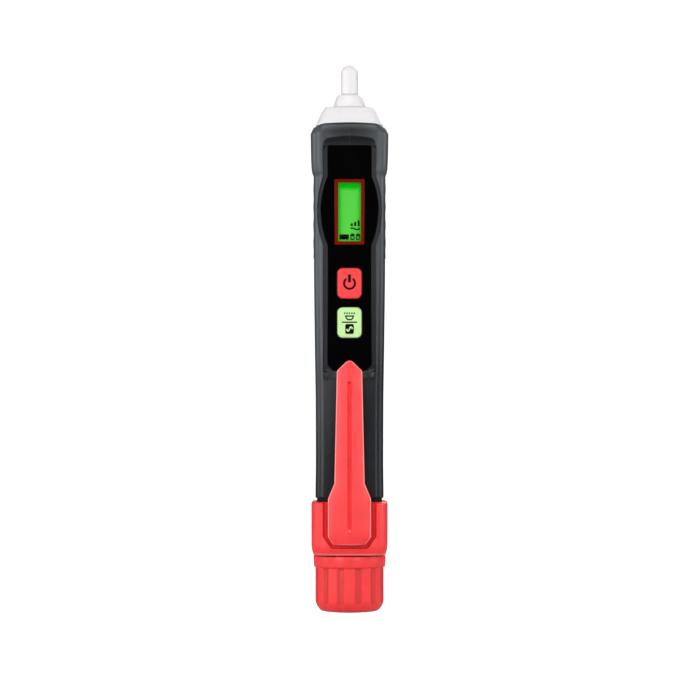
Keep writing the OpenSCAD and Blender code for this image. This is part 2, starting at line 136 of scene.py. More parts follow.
def arc(x, z, r, start, end, count=8):
    """Points of an arc, with its angles in degrees."""
    return [(x + r * math.cos(math.radians(a)), z + r * math.sin(math.radians(a)))
            for a in np.linspace(start, end, count + 1)]


def rounded_box(x, z, w, h, r, count=6):
    """Anticlockwise outline of a rounded rectangle about (x, z)."""
    a, b = w / 2 - r, h / 2 - r
    return (arc(x + a, z - b, r, -90, 0, count) + arc(x + a, z + b, r, 0, 90, count)
            + arc(x - a, z + b, r, 90, 180, count) + arc(x - a, z - b, r, 180, 270, count))


def swell_out(z, w, swell):
    """Half width at height z of an edge that swells beside the display."""
    mid, half = (SWELL_Z0 + SWELL_Z1) / 2, (SWELL_Z1 - SWELL_Z0) / 2
    big = (half * half + swell * swell) / (2 * swell)
    inside = np.maximum(big * big - (np.asarray(z, float) - mid) ** 2, 0)
    return w + np.maximum(swell - big + np.sqrt(inside), 0)


def panel_outline(w, swell, z0, cut, z1, r, crown):
    """Outline of the fascia or of the recess round it, with a crowned top."""
    side_z = np.linspace(SWELL_Z0, SWELL_Z1, 25)
    right = [(w - cut, z0), (w, z0 + cut)]
    right += [(float(swell_out(z, w, swell)), z) for z in side_z]
    right += arc(w - r, z1 - r, r, 0, 90, 10)
    top = [(x, z1 + crown * (1 - (x / (w - r)) ** 2)) for x in np.linspace(w - r, r - w, 17)[1:-1]]
    return right + top + [(-x, z) for x, z in reversed(right)]


def distance_to(x, z, outline):
    """Signed distance to a closed outline, negative inside it."""
    x, z = np.asarray(x, float), np.asarray(z, float)
    nearest = np.full(x.shape, 1e9)
    inside = np.zeros(x.shape, bool)
    for (ax, az), (bx, bz) in zip(outline, outline[1:] + outline[:1]):
        ux, uz = bx - ax, bz - az
        if ux * ux + uz * uz < 1e-12:
            continue
        t = np.clip(((x - ax) * ux + (z - az) * uz) / (ux * ux + uz * uz), 0, 1)
        nearest = np.minimum(nearest, np.hypot(x - ax - t * ux, z - az - t * uz))
        if az != bz:
            crosses = ((az > z) != (bz > z)) & (x < ax + (z - az) * ux / uz)
            inside ^= crosses
    return np.where(inside, -nearest, nearest)


def rise(value, start, end):
    """0 until a value gets to start, 1 past end and in proportion between; end may be the lower one."""
    return np.clip((value - start) / (end - start), 0, 1)


def soft_min(a, b, k):
    """The smaller of a and b, with the corner between them rounded over k."""
    h = np.maximum(k - np.abs(a - b), 0) / k
    return np.minimum(a, b) - h * h * k / 4


# Meshes

def bands(first, last, n):
    """Faces between each ring of n points and the next, from the first ring to the last."""
    return [(j * n + i, j * n + (i + 1) % n, (j + 1) * n + (i + 1) % n, (j + 1) * n + i)
            for j in range(first, last) for i in range(n)]


def skin(rings):
    """Vertices and faces of a closed solid through rings of equal numbers of points."""
    rings = np.asarray(rings, float)
    m, n = rings.shape[:2]
    ends = [tuple(range(n - 1, -1, -1)), tuple(range((m - 1) * n, m * n))]
    return rings.reshape(-1, 3), bands(0, m - 1, n) + ends


def columns(breaks, counts):
    """Grid whose rows run through each row's breaks, in counts equal steps between them."""
    parts = [a[:, None] + (b - a)[:, None] * (np.arange(n) / n)
             for a, b, n in zip(breaks, breaks[1:], counts)]
    return np.concatenate(parts + [breaks[-1][:, None]], axis=1)


def sheet_solid(outer, inner, hole=None, around=False):
    """Vertices and faces of the closed solid between two grids; hole marks cells that are open."""
    m, n = outer.shape[:2]
    cells = n if around else n - 1
    solid = np.ones((m - 1, cells), bool) if hole is None else ~hole
    count = m * n

    def filled(j, i):
        i = i % cells if around else i
        return 0 <= j < m - 1 and 0 <= i < cells and solid[j, i]

    faces = []
    for j, i in np.argwhere(solid):
        k = (i + 1) % n
        a, b, c, d = j * n + i, j * n + k, (j + 1) * n + k, (j + 1) * n + i
        faces += [(a, b, c, d), (d + count, c + count, b + count, a + count)]
        for p, q, beside in ((b, a, (j - 1, i)), (d, c, (j + 1, i)), (a, d, (j, i - 1)), (c, b, (j, i + 1))):
            if not filled(*beside):
                faces.append((p, q, q + count, p + count))
    return np.concatenate([outer.reshape(-1, 3), inner.reshape(-1, 3)]), faces


def joined(*shapes):
    """Several (vertices, faces) shapes as one."""
    verts, faces, base = [], [], 0
    for v, f in shapes:
        verts.append(np.asarray(v, float))
        faces += [tuple(int(i) + base for i in face) for face in f]
        base += len(v)
    return np.concatenate(verts), faces


def finish_mesh(mesh, sharp):
    """Weld a mesh, turn its faces outward and mark the edges that stay sharp."""
    bm = bmesh.new()
    bm.from_mesh(mesh)
    bmesh.ops.remove_doubles(bm, verts=bm.verts, dist=2e-7)
    bmesh.ops.dissolve_degenerate(bm, edges=bm.edges, dist=1e-7)
    bmesh.ops.recalc_face_normals(bm, faces=bm.faces)
    for face in bm.faces:
        face.smooth = True
    for edge in bm.edges:
        edge.smooth = len(edge.link_faces) == 2 and edge.calc_face_angle(0) < math.radians(sharp)
    bm.to_mesh(mesh)
    bm.free()


def new_mesh(name, shape):
    """A mesh from (vertices, faces) in millimetres."""
    verts, faces = shape
    mesh = bpy.data.meshes.new(name)
    mesh.from_pydata([tuple(v) for v in np.asarray(verts, float) * MM], [],
                     [tuple(map(int, face)) for face in faces])
    return mesh


def new_object(name, data):
    """An object in the scene."""
    made = bpy.data.objects.new(name, data)
    bpy.context.scene.collection.objects.link(made)
    return made


def final_mesh(thing):
    """A copy of an object's mesh as its modifiers or its curve settings make it."""
    bpy.context.view_layer.update()
    return bpy.data.meshes.new_from_object(thing.evaluated_get(bpy.context.evaluated_depsgraph_get()))


def make_piece(name, shape, body, slot, stands_for, look=None, sharp=32):
    """A piece from (vertices, faces) in millimetres, riding on a body and standing for a CAD node."""
    return place(name, new_mesh(name, shape), body, slot, stands_for, look, sharp)


def place(name, mesh, body, slot, stands_for, look, sharp):
    """A piece with a mesh; its material is the slot's own unless look names another."""
    finish_mesh(mesh, sharp)
    piece = new_object(name, mesh)
    mesh.materials.clear()
    mesh.materials.append(material[look or slot])
    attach(piece, body)
    if stands_for:
        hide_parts(stands_for)
    return piece


def make_plate(name, outlines, back, front, bevel, body, slot, stands_for=None, look=None):
    """A flat bevelled piece facing -Y: the first outline is its rim, and the rest are holes."""
    curve = bpy.data.curves.new(name, "CURVE")
    curve.dimensions = "2D"
    curve.fill_mode = "BOTH"
    curve.extrude = ((front - back) / 2 - bevel) * MM
    curve.bevel_depth = bevel * MM
    curve.bevel_resolution = 2
    curve.offset = -bevel * MM
    for outline in outlines:
        spline = curve.splines.new("POLY")
        spline.points.add(len(outline) - 1)
        for point, (x, z) in zip(spline.points, outline):
            point.co = (x * MM, z * MM, 0, 1)
        spline.use_cyclic_u = True
    holder = new_object(name + ".curve", curve)
    mesh = final_mesh(holder)
    bpy.data.objects.remove(holder)
    mesh.name = name
    middle = (front + back) / 2 * MM
    mesh.transform(Matrix.Translation((0, -middle, 0)) @ Matrix.Rotation(math.pi / 2, 4, "X"))
    return place(name, mesh, body, slot, stands_for, look, 12)


def rounded_ring(z, hw, depth, r):
    """Ring of a rounded box about the axis, with points across its front and back.

    A corner radius as big as the half width makes a circle.
    """
    ring = []
    for quarter, (sx, sy) in enumerate(((1, 1), (-1, 1), (-1, -1), (1, -1))):
        for a in np.linspace(0, math.pi / 2, 16):
            t = a + quarter * math.pi / 2
            ring.append((sx * (hw - r) + r * math.cos(t), sy * (depth - r) + r * math.sin(t), z))
        if sx == sy:
            ring += [(x, sy * depth, z) for x in np.linspace(sx * (hw - r), -sx * (hw - r), 9)[1:-1]]
    return ring


def circle_ring(z, r):
    """Ring of a circle, with the points of rounded_ring()."""
    return rounded_ring(z, r, r, r)


def cone_y(x, z, radii, n=40):
    """Closed turned shape along Y through (y, radius) pairs."""
    turn = np.linspace(0, 2 * math.pi, n, endpoint=False)
    return skin([[(x + r * math.cos(t), y, z + r * math.sin(t)) for t in turn] for y, r in radii])


def rod_y(x, z, r, y0, y1, n=24):
    """Cylinder along Y."""
    return cone_y(x, z, [(y0, r), (y1, r)], n)


# Materials

def linear(*colour):
    """Linear colour of an 8-bit sRGB one."""
    return tuple(c / 12.92 if c <= 0.04045 else ((c + 0.055) / 1.055) ** 2.4
                 for c in (value / 255 for value in colour))


def two_tones(r, g, b, drift=0.06):
    """A linear colour a little darker and a little lighter than an sRGB one."""
    base = linear(r, g, b)
    return [tuple(min(c * (1 + s * drift), 1) for c in base) for s in (-1, 1)]


CASING_TONES = two_tones(71, 75, 79)
# Painted shade: tones that darken the casing towards its foot
FOOT_SHADE_TONES = two_tones(12, 17, 22)
# Painted shade in the recess round the fascia and on the brow above it
RECESS_SHADE_TONES = two_tones(7, 9, 12)
RED = ((248, 57, 60, 0.04), 0.38, 0.5, 0.006, dict(Specular_IOR_Level=0.45))
METAL = dict(Metallic=1.0)

# slot: Blender's name, arguments of two_tones(), roughness, grain, relief, other arguments of surface()
FINISHES = {
    "grip": ("grip_rubber", (52, 55, 57), 0.62, 0.28, 0.02, dict(Specular_IOR_Level=0.4)),
    "fascia": ("gloss_fascia", (2, 2, 3, 0.2), 0.12, 2.5, 0.002, dict(spread=0.03, Specular_IOR_Level=0.2)),
    "frame_red": ("display_surround", (112, 14, 0), 0.5, 0.3, 0.004, dict(Specular_IOR_Level=0.05)),
    "display_window": ("clear_window", (236, 246, 236, 0.01), 0.04, 3.0, 0.001,
                       dict(spread=0.02, Transmission_Weight=1.0, IOR=1.15)),
    "segments": ("lcd_segments", (2, 8, 2, 0.15), 0.4, 0.3, 0.001, dict(Specular_IOR_Level=0.03)),
    "button_red": ("red_silicone", (243, 52, 57), 0.5, 0.25, 0.006, {}),
    "button_green": ("pale_green_silicone", (194, 232, 158, 0.03), 0.5, 0.25, 0.006, {}),
    "ink": ("pad_print", (3, 3, 3, 0.3), 0.6, 0.2, 0.003, dict(Specular_IOR_Level=0.08)),
    "clear_nose": ("clear_polycarbonate", (223, 220, 222, 0.01), 0.3, 2.5, 0.002, dict(spread=0.05, IOR=1.4)),
    "tube": ("black_abs", (8, 8, 9, 0.12), 0.5, 0.4, 0.006, dict(Specular_IOR_Level=0.15)),
    "seal": ("black_rubber", (16, 16, 17, 0.15), 0.6, 0.2, 0.006, {}),
    "contact_metal": ("nickel_plate", (196, 194, 186), 0.28, 0.3, 0.003, METAL),
    "screw": ("zinc_screw", (150, 152, 156, 0.1), 0.32, 0.15, 0.004, METAL),
    "antenna": ("tinned_rod", (226, 222, 218), 0.35, 0.2, 0.003, METAL),
    "led_white": ("clear_led", (240, 240, 232, 0.02), 0.1, 0.5, 0.002, dict(Transmission_Weight=0.6)),
    "led_red": ("red_led", (225, 40, 40), 0.12, 0.5, 0.002, dict(Transmission_Weight=0.4)),
    "board": ("green_solder_mask", (30, 92, 58, 0.12), 0.35, 0.4, 0.01, {}),
    "component": ("moulded_component", (30, 30, 32, 0.15), 0.5, 0.2, 0.008, {}),
    "elastomer": ("zebra_elastomer", (206, 138, 152), 0.6, 0.2, 0.01, {}),
    "backlight": ("light_guide", (228, 242, 224, 0.03), 0.3, 0.4, 0.004, {}),
    "cell_sleeve": ("cell_sleeve", (62, 108, 162), 0.3, 1.5, 0.004, {}),
    "red_plastic": ("red_abs", *RED),
    **{part + "_red": ("red_abs_" + part, *RED) for part in ("collar", "clip", "cap")},
}

# Painted shade and painted highlights: slot, attribute of the piece, and the tones that the slot's material
# takes where it is high
PAINTED_LIGHT_MARKS = [
    # painted shade in the collar's recess round the clip's foot
    ("collar_red", "recess", two_tones(236, 0, 0, 0.04)),
    # painted shade in the clip's groove
    ("clip_red", "recess", two_tones(244, 40, 44, 0.04)),
    # painted shade in the cap's flutes
    ("cap_red", "recess", two_tones(214, 38, 38, 0.04)),
    # painted highlights along the clip's bevelled edges and its foot's lower edge, and a pale dot on the gate
    # mark
    ("clip_red", "rim", two_tones(255, 150, 148, 0.03)),
    # painted highlight along the collar's lower edge
    ("collar_red", "rim", two_tones(255, 150, 148, 0.03)),
    # painted shade where the clear nose bends
    ("clear_nose", "bend_shade", two_tones(190, 184, 187, 0.02)),
]


def new_material(name):
    """A material and its node tree."""
    mat = bpy.data.materials.new(name)
    mat.use_nodes = True
    return mat, mat.node_tree


def put(value, socket):
    """Give a socket a plain value, or link it from another socket."""
    if isinstance(value, bpy.types.NodeSocket):
        socket.id_data.links.new(value, socket)
    else:
        socket.default_value = value


def add_node(tree, kind, *values, **named):
    """A new node; values go to its inputs in order, and named ones to its settings and inputs."""
    node = tree.nodes.new("ShaderNode" + kind)
    for name, value in named.items():
        if hasattr(node, name):
            setattr(node, name, value)
        else:
            put(value, node.inputs[name.replace("_", " ")])
    for value, socket in zip(values, node.inputs):
        put(value, socket)
    return node


def calculate(tree, operation, *values):
    """Result of a math node."""
    return add_node(tree, "Math", *values, operation=operation).outputs[0]


def position(tree):
    """Object coordinates, with their x and their z."""
    coords = add_node(tree, "TexCoord").outputs["Object"]
    x, _, z = add_node(tree, "SeparateXYZ", coords).outputs
    return coords, x, z


def noise(tree, coords, size, detail=3.0, rough=0.5):
    """Noise with features of about size millimetres."""
    return add_node(tree, "TexNoise", Vector=coords, Scale=1 / (size * MM), Detail=detail,
                    Roughness=rough).outputs["Fac"]


def remap(tree, value, low, high, start=0.3, end=0.7):
    """A value between start and end spread over low to high."""
    return add_node(tree, "MapRange", value, start, end, low, high).outputs["Result"]


def tones(tree, value, dark, light, start=0.32, end=0.68):
    """Colour that goes from dark to light as a value goes from start to end."""
    ramp = add_node(tree, "ValToRGB", value)
    for element, share, colour in zip(ramp.color_ramp.elements, (start, end), (dark, light)):
        element.position = share
        element.color = (*colour, 1)
    return ramp.outputs["Color"]


def surface(name, dark, light, roughness, grain, relief, spread=0.06, patch=6.0, **sockets):
    """A material whose colour, roughness and relief all vary.

    dark and light are the two tones, grain the size and relief the height in millimetres of
    the surface's texture, spread how far the roughness varies, and patch the size of its tones.
    """
    mat, tree = new_material(name)
    coords = position(tree)[0]
    rub = noise(tree, coords, patch * 0.35, 5.0, 0.6)
    bump = add_node(tree, "Bump", Strength=1.0, Distance=relief * MM, Height=noise(tree, coords, grain, 2.0))
    sockets |= {"Base_Color": tones(tree, noise(tree, coords, patch, 4.0), dark, light),
                "Roughness": remap(tree, rub, max(roughness - spread, 0.01), roughness + spread),
                "Normal": bump.outputs["Normal"]}
    for socket, value in sockets.items():
        put(value, tree.nodes["Principled BSDF"].inputs[socket.replace("_", " ")])
    return mat


def mix_in(mat, share, other_tones):
    """Mix a second pair of tones into a material's colour."""
    tree = mat.node_tree
    colour = tree.nodes["Principled BSDF"].inputs["Base Color"]
    other = tones(tree, noise(tree, position(tree)[0], 4.0), *other_tones)
    mix = add_node(tree, "Mix", data_type="RGBA", Factor=share, A=colour.links[0].from_socket, B=other)
    put(mix.outputs["Result"], colour)


def toned(mat, attribute, other_tones):
    """A material with other tones wherever an attribute of its piece is high."""
    mask = add_node(mat.node_tree, "Attribute", attribute_name=attribute)
    mix_in(mat, mask.outputs["Fac"], other_tones)
    return mat


def casing_material(name):
    """Fine-textured casing plastic with painted shade that deepens towards the collar, a little more so on
    its right.
    """
    mat = surface(name, *CASING_TONES, 0.34, 0.3, 0.008, spread=0.05, Specular_IOR_Level=0.35)
    _, x, z = position(mat.node_tree)
    # painted shade: full at 50 mm and gone at 114 mm, reaching higher on the right
    tilted = calculate(mat.node_tree, "MULTIPLY_ADD", x, -1.8, z)
    mix_in(mat, remap(mat.node_tree, tilted, 1.0, 0.0, 50 * MM, 114 * MM), FOOT_SHADE_TONES)
    return mat


def lcd_material():
    """Lit glass: clear green in the middle, with painted shade in deeper green at the rim and along the top.
    """
    mat, tree = new_material("lcd_glass")
    coords, x, z = position(tree)
    from_side = calculate(tree, "SUBTRACT", (FRAME_HW - FRAME_RIM) * MM, calculate(tree, "ABSOLUTE", x))
    from_top = calculate(tree, "SUBTRACT", (FRAME_MID + FRAME_HH - 2.2) * MM, z)
    from_foot = calculate(tree, "SUBTRACT", z, (FRAME_MID - FRAME_HH + 0.7) * MM)
    rim = calculate(tree, "MINIMUM", calculate(tree, "MINIMUM", from_side, from_top), from_foot)
    cloud = noise(tree, coords, 3.0)
    rim = calculate(tree, "MULTIPLY_ADD", cloud, 0.25 * MM, rim)
    # Painted shade: the deeper green comes in near the rim and along the top
    share = remap(tree, rim, 0.0, 1.0, 0.2 * MM, 1.35 * MM)
    colour = tones(tree, share, linear(0, 172, 16), linear(82, 184, 66), 0, 1)
    shader = tree.nodes["Principled BSDF"].inputs
    for socket, value in (("Base Color", colour), ("Emission Color", colour), ("Emission Strength", 0.2),
                          ("Specular IOR Level", 0.0), ("Roughness", remap(tree, cloud, 0.3, 0.42))):
        put(value, shader[socket])
    return mat


def make_materials():
    """Every material, by the record's slot name or by the name used here."""
    made = {slot: surface(name, *two_tones(*tone), roughness, grain, relief, **other)
            for slot, (name, tone, roughness, grain, relief, other) in FINISHES.items()}
    made["casing"] = casing_material("rubberised_casing")
    # Painted shade on the front shell, where its recess attribute is high
    made["front_casing"] = toned(casing_material("rubberised_casing_front"), "recess", RECESS_SHADE_TONES)
    made["lcd"] = lcd_material()
    for slot, attribute, other_tones in PAINTED_LIGHT_MARKS:
        toned(made[slot], attribute, other_tones)
    return made


material = make_materials()


# Casing

def casing_keys(back):
    """(height, half width, depth, corner radius) of the casing's front or rear half."""
    waist_d, low_d, mid_d, top_d = (10.1, 10.2, 10.4, 10.6) if back else (10.0, 10.2, FRONT_D, FRONT_D)
    head = [(2.25, 0, 0), (1.4, 0.33, 0.2), (0.8, 0.6, 0.42), (0.25, 0.97, 0.7), (0, 1.45, 0.95)]
    return [
        (SHELL_Z0, WAIST_HW - 0.1, 9.9, 2.6),
        (SHELL_Z0 + 0.4, WAIST_HW + 0.15, waist_d, 2.6),
        (44, WAIST_HW + 0.05, waist_d, 2.6),
        (61, WAIST_HW + 0.1, low_d, 2.6),
        (76.5, WAIST_HW + 0.32, mid_d, 2.6),
        (SWELL_Z0 - 3, WAIST_HW + 0.62, top_d, 2.6),
        (SWELL_Z1, WAIST_HW + 0.65, top_d, 2.6),
        (SWELL_Z1 + 1.9, HEAD_HW - 0.3, top_d + 0.3, 2.9),
        (HEAD_Z, HEAD_HW - 0.1, HEAD_D, 3.0),
    ] + [(SHELL_Z1 - below, HEAD_HW - w, HEAD_D - d, 3.0) for below, w, d in head]


def crown(x):
    """Fall of the casing's top edge away from its centre line."""
    across = np.minimum(np.abs(x), CROWN_END)
    return CROWN_BOW * across ** 2 + CROWN_DROP * np.maximum(across - CROWN_TURN, 0) ** 2


def crowned(x, z):
    """Height z lowered by the crown, which fades in over the last millimetres of the casing."""
    return z - crown(x) * rise(z, CROWN_Z0, CROWN_Z1)


def on_section(length, hw, depth, r):
    """(x, depth) at a path length round a rounded box, from the middle of its face to its flank."""
    flat = hw - r
    turn = np.clip((length - flat) / r, 0, math.pi / 2)
    x = np.minimum(length, flat) + r * np.sin(turn)
    d = depth - r * (1 - np.cos(turn)) - np.maximum(length - flat - r * math.pi / 2, 0)
    return x, d


def reach(x, hw, r):
    """Path length at which a section gets out to x."""
    return np.where(x < hw - r, x, hw - r + r * np.arcsin(np.clip((x - hw + r) / r, 0, 1)))


GRIP_Z0, GRIP_Z1 = grip_low[2] - 0.1, grip_high[2] + 0.1
GRIP_HALF = grip_high[1] + 0.1
GRIP_FLOOR = 9.1                 # bottom of the grips' pockets
SEAM = 0.05                      # half the gap between the shells
MOUTH_Z = SHELL_Z1 - 3.6         # foot of the square mouth that takes the nose
FOOT_Z = SHELL_Z0 + 1.35         # top of the round hole that takes the battery tube
FOOT_R = 6.4
KEY_HW, KEY_HH = BUTTON_W / 2 + 0.15, BUTTON_H / 2 + 0.15   # openings for the buttons
GLASS_HW = lcd_high[0] + 0.1     # opening for the display
GLASS_Z0, GLASS_Z1 = lcd_low[2] - 0.1, lcd_high[2] + 0.1
RECESS_HW, RECESS_SWELL = FASCIA_HW + 1.3, FASCIA_SWELL - 0.25
SEAT_HW = FASCIA_HW + 0.05
RECESS_OUTLINE = panel_outline(RECESS_HW, RECESS_SWELL, RECESS_Z0, 0.6, RECESS_Z1, 2, 0.66)
SEAT_OUTLINE = panel_outline(SEAT_HW, FASCIA_SWELL, FASCIA_Z0 - 0.05, 1.95, FASCIA_Z1 + 0.05, 0.9, 0)


def recess_depth(x, z):
    """Depth of the recess's slope and of the seat under the fascia, wherever they would cut."""
    to_seat = distance_to(x, z, SEAT_OUTLINE)
    to_rim = distance_to(x, z, RECESS_OUTLINE)
    share = np.maximum(to_seat / np.maximum(to_seat - to_rim, 0.2), 0)
    wall = 0.02 * share + 3.4 * np.maximum(to_rim + 0.3, 0)
    roof, ledge = rise(z, FASCIA_Z1 - 1, FASCIA_Z1), rise(z, FASCIA_Z0 + 0.5, FASCIA_Z0 - 0.5)
    brink = FASCIA_FRONT + 0.02
    slope = brink + (1 - roof - ledge) * wall + 1.6 * roof * share + 1.05 * ledge * share
    seat = np.maximum(brink + 9 * to_seat, FASCIA_BACK - 0.05)
    return np.where(to_seat < 0, seat, slope)


def casing_rows():
    """Heights of the casing's rows: close together wherever its shape turns or an opening ends."""
    edges = [GRIP_Z0 - 0.04, GRIP_Z0 + 0.04, GRIP_Z1 - 0.04, GRIP_Z1 + 0.04, GLASS_Z0, GLASS_Z1,
             FUNCTION_Z - KEY_HH, FUNCTION_Z + KEY_HH, POWER_Z - KEY_HH, POWER_Z + KEY_HH,
             FOOT_Z + 0.05, MOUTH_Z - 0.04, MOUTH_Z + 0.04]
    return steps((SHELL_Z0, SHELL_Z0 + 0.6, 0.12), (SHELL_Z0 + 0.6, 67, 1.6), (67, 73.4, 0.15),
                 (73.4, 103, 1.3), (103, 104.5, 0.25), (104.5, 108, 0.3), (108, 126, 0.75), (126, 131, 0.3),
                 (131, 134.5, 0.5), (134.5, 139.6, 0.15), (139.6, SHELL_Z1, 0.15), *edges)


def casing_half(back):
    """Outer and inner grids of the front or rear shell, and the cells that are open."""
    z = casing_rows()
    hw, depth, r = smooth_through(z, casing_keys(back)).T
    column_z = np.clip(z, SWELL_Z0, SWELL_Z1)
    seat = reach(swell_out(column_z, SEAT_HW, FASCIA_SWELL), hw, r)
    rim = reach(np.minimum(swell_out(column_z, RECESS_HW, RECESS_SWELL), hw - 0.4), hw, r)
    arc_end = hw - r + r * math.pi / 2
    side = [arc_end + depth - r - y
            for y in (7.2, 6.6, GRIP_HALF + 0.04, GRIP_HALF - 0.04, 4.5, 3, 1.5, 0.3, SEAM)]
    zero = np.zeros_like(z)
    if back:
        breaks = [zero, zero + 5.6, arc_end - 3.6, arc_end]
        counts = [5, 3, 7]
    else:
        breaks = [zero, zero + 0.12, zero + 0.3, zero + KEY_HW, zero + GLASS_HW, seat - 0.4, seat - 0.1, seat,
                  seat + 0.08, rim - 0.4, rim + 0.3, arc_end]
        counts = [1, 1, 2, 1, 2, 1, 1, 1, 4, 6, 7]
    length = columns(breaks + side, counts + [1] * len(side))
    zz, hw, depth, r = (row[:, None] * np.ones_like(length) for row in (z, hw, depth, r))
    x, d = on_section(length, hw, depth, r)

    # inner surface, with the same x as the outer one beside the openings
    places = [zz > MOUTH_Z, zz < FOOT_Z]
    in_hw = np.select(places, [HEAD_HW - 2.1, FOOT_R], hw - WALL)
    in_depth = np.select(places, [HEAD_HW - 2.1, FOOT_R], depth - WALL)
    in_r = np.select(places, [2.0, FOOT_R], np.maximum(r - WALL, 0.8))
    in_end = in_hw - in_r + in_r * math.pi / 2 + in_depth - in_r - SEAM
    knee = np.where(zz < FOOT_Z, 0.5, 5.6)
    past = (length - knee) / (length[:, -1:] - knee)
    in_length = np.where(length < knee, length, knee + past * (in_end - knee))
    in_x, in_d = on_section(in_length, in_hw, in_depth, in_r)

    if not back:
        d = soft_min(d, recess_depth(x, crowned(x, zz)), 0.03)
        crease = near(x, 0, 0.25) * (zz > FASCIA_Z1 + 0.1) * (zz < SHELL_Z1 - 0.3)
        d = d + np.where(zz > RECESS_Z1, 0.03, 0.1) * crease
        behind = (zz > RECESS_Z0 - 1) & (zz < MOUTH_Z)
        in_d = np.minimum(np.where(behind, np.minimum(in_d, SHELL_FLOOR), in_d), np.maximum(d - 0.5, 0))
    pocket = (d < GRIP_HALF) & (zz > GRIP_Z0) & (zz < GRIP_Z1) & (x > GRIP_FLOOR)
    x = np.where(pocket, GRIP_FLOOR, x) - 0.1 * rise(d, 0.3, 0.05)
    in_x = np.minimum(in_x, x - 0.3 * (d < 6.6))

    def both_sides(gx, gd):
        half = np.stack([gx, gd if back else -gd, crowned(gx, zz)], axis=-1)
        return np.concatenate([half[:, :0:-1] * (-1, 1, 1), half], axis=1)

    shell = both_sides(x, d), both_sides(in_x, in_d)
    if back:
        return *shell, None
    cx, cz = (x[:-1, :-1] + x[1:, 1:]) / 2, (zz[:-1] + zz[1:])[:, 1:] / 2
    opening = (cx < GLASS_HW) & (cz > GLASS_Z0) & (cz < GLASS_Z1)
    for key_z in (POWER_Z, FUNCTION_Z):
        opening |= (cx < KEY_HW) & (np.abs(cz - key_z) < KEY_HH)
    return *shell, np.concatenate([opening[:, ::-1], opening], axis=1)


def inside_of(outline, x, z):
    """1 inside an outline seen from the front and 0 outside it, with a narrow slope between."""
    return rise(distance_to(x, z, outline), 0.1, -0.1)


def near(value, middle, width):
    """1 at the middle, falling to 0 at width on either side."""
    return rise(np.abs(value - middle), width, 0)


def store_amount(piece, name, amount):
    """Store on a piece's points an amount that follows where they are."""
    x, y, z = np.array([v.co for v in piece.data.vertices]).T / MM
    layer = piece.data.attributes.new(name, "FLOAT", "POINT")
    layer.data.foreach_set("value", amount(x, y, z))


def casing_painted_shade(x, y, z):
    """Share of painted shade on the casing's front.

    It is low on the recess's ledge, higher at its sides and highest in its roof, and the brow
    above the roof has some too. A thin line down the middle above the fascia has less of it,
    a painted highlight along the crease.
    """
    level = np.interp(z, [FASCIA_Z0, FASCIA_Z0 + 1, FASCIA_Z1, FASCIA_Z1 + 0.4, FASCIA_Z1 + 1.6],
                      [0.3, 0.72, 0.72, 0.82, 1.0])
    level = np.maximum(level, 0.85 * rise(np.abs(x), 5.6, 6.3) * (z < FASCIA_Z0 + 1.5))
    brow = np.interp(z, [FASCIA_Z1, FASCIA_Z1 + 2, 138.8, 139.8], [0, 0.6, 0.6, 0.85])
    brow = brow * np.clip(1 - (x / 9) ** 2, 0, 1)
    tone = np.maximum(level * inside_of(RECESS_OUTLINE, x, z), brow)
    return tone * (1 - 0.35 * (np.abs(x) < 0.06) * (z > FASCIA_Z1)) * (y < -8.5)


def make_casing():
    """The two shells, with the openings that each has."""
    outer, inner, opening = casing_half(back=False)
    front = make_piece("front_casing", sheet_solid(outer, inner, opening), "casing", "casing", "front_shell",
                       "front_casing", 19)
    # Painted shade in the recess round the fascia and on the brow above it, with a lighter crease line
    store_amount(front, "recess", casing_painted_shade)
    outer, inner, _ = casing_half(back=True)
    rear = make_piece("rear_casing", sheet_solid(outer, inner), "casing", "casing", "rear_shell", sharp=38)
    bore_rear_casing(rear)


def cut_or_add(piece, shape, operation):
    """Cut a shape out of a piece, or add it, with an exact boolean."""
    mesh = new_mesh("tool", shape)
    finish_mesh(mesh, 30)
    tool = new_object("tool", mesh)
    modifier = piece.modifiers.new("cut", "BOOLEAN")
    modifier.operation = operation
    modifier.solver = "EXACT"
    modifier.object = tool
    made = final_mesh(piece)
    piece.modifiers.clear()
    old, piece.data = piece.data, made
    made.name = old.name
    bpy.data.meshes.remove(old)
    bpy.data.objects.remove(tool)


SCREW_SPOTS = [(x, z) for x in (-6.5, 6.5) for z in (102.5, 133)]
SCREW_SEAT = 7.6
BUZZER_Z = 118


def bore_rear_casing(rear):
    """Screw bosses with countersunk mouths, and sound holes over the buzzer."""
    cut_or_add(rear, joined(*[rod_y(x, z, 2.7, 0.3, 9.6, 32) for x, z in SCREW_SPOTS]), "UNION")
    holes = [cone_y(x, z, [(-0.5, 1.05), (SCREW_SEAT, 1.05), (SCREW_SEAT + 0.01, 2.1), (9.9, 2.1), (12, 4.2)])
             for x, z in SCREW_SPOTS]
    sound_hole = [(8, 0.55), (10.25, 0.55), (10.85, 0.95)]
    holes += [cone_y(2.2 * math.cos(a), BUZZER_Z + 2.2 * math.sin(a), sound_hole, 20)
              for a in np.radians(np.arange(0, 360, 60))]
    cut_or_add(rear, joined(*holes), "DIFFERENCE")
    finish_mesh(rear.data, 38)


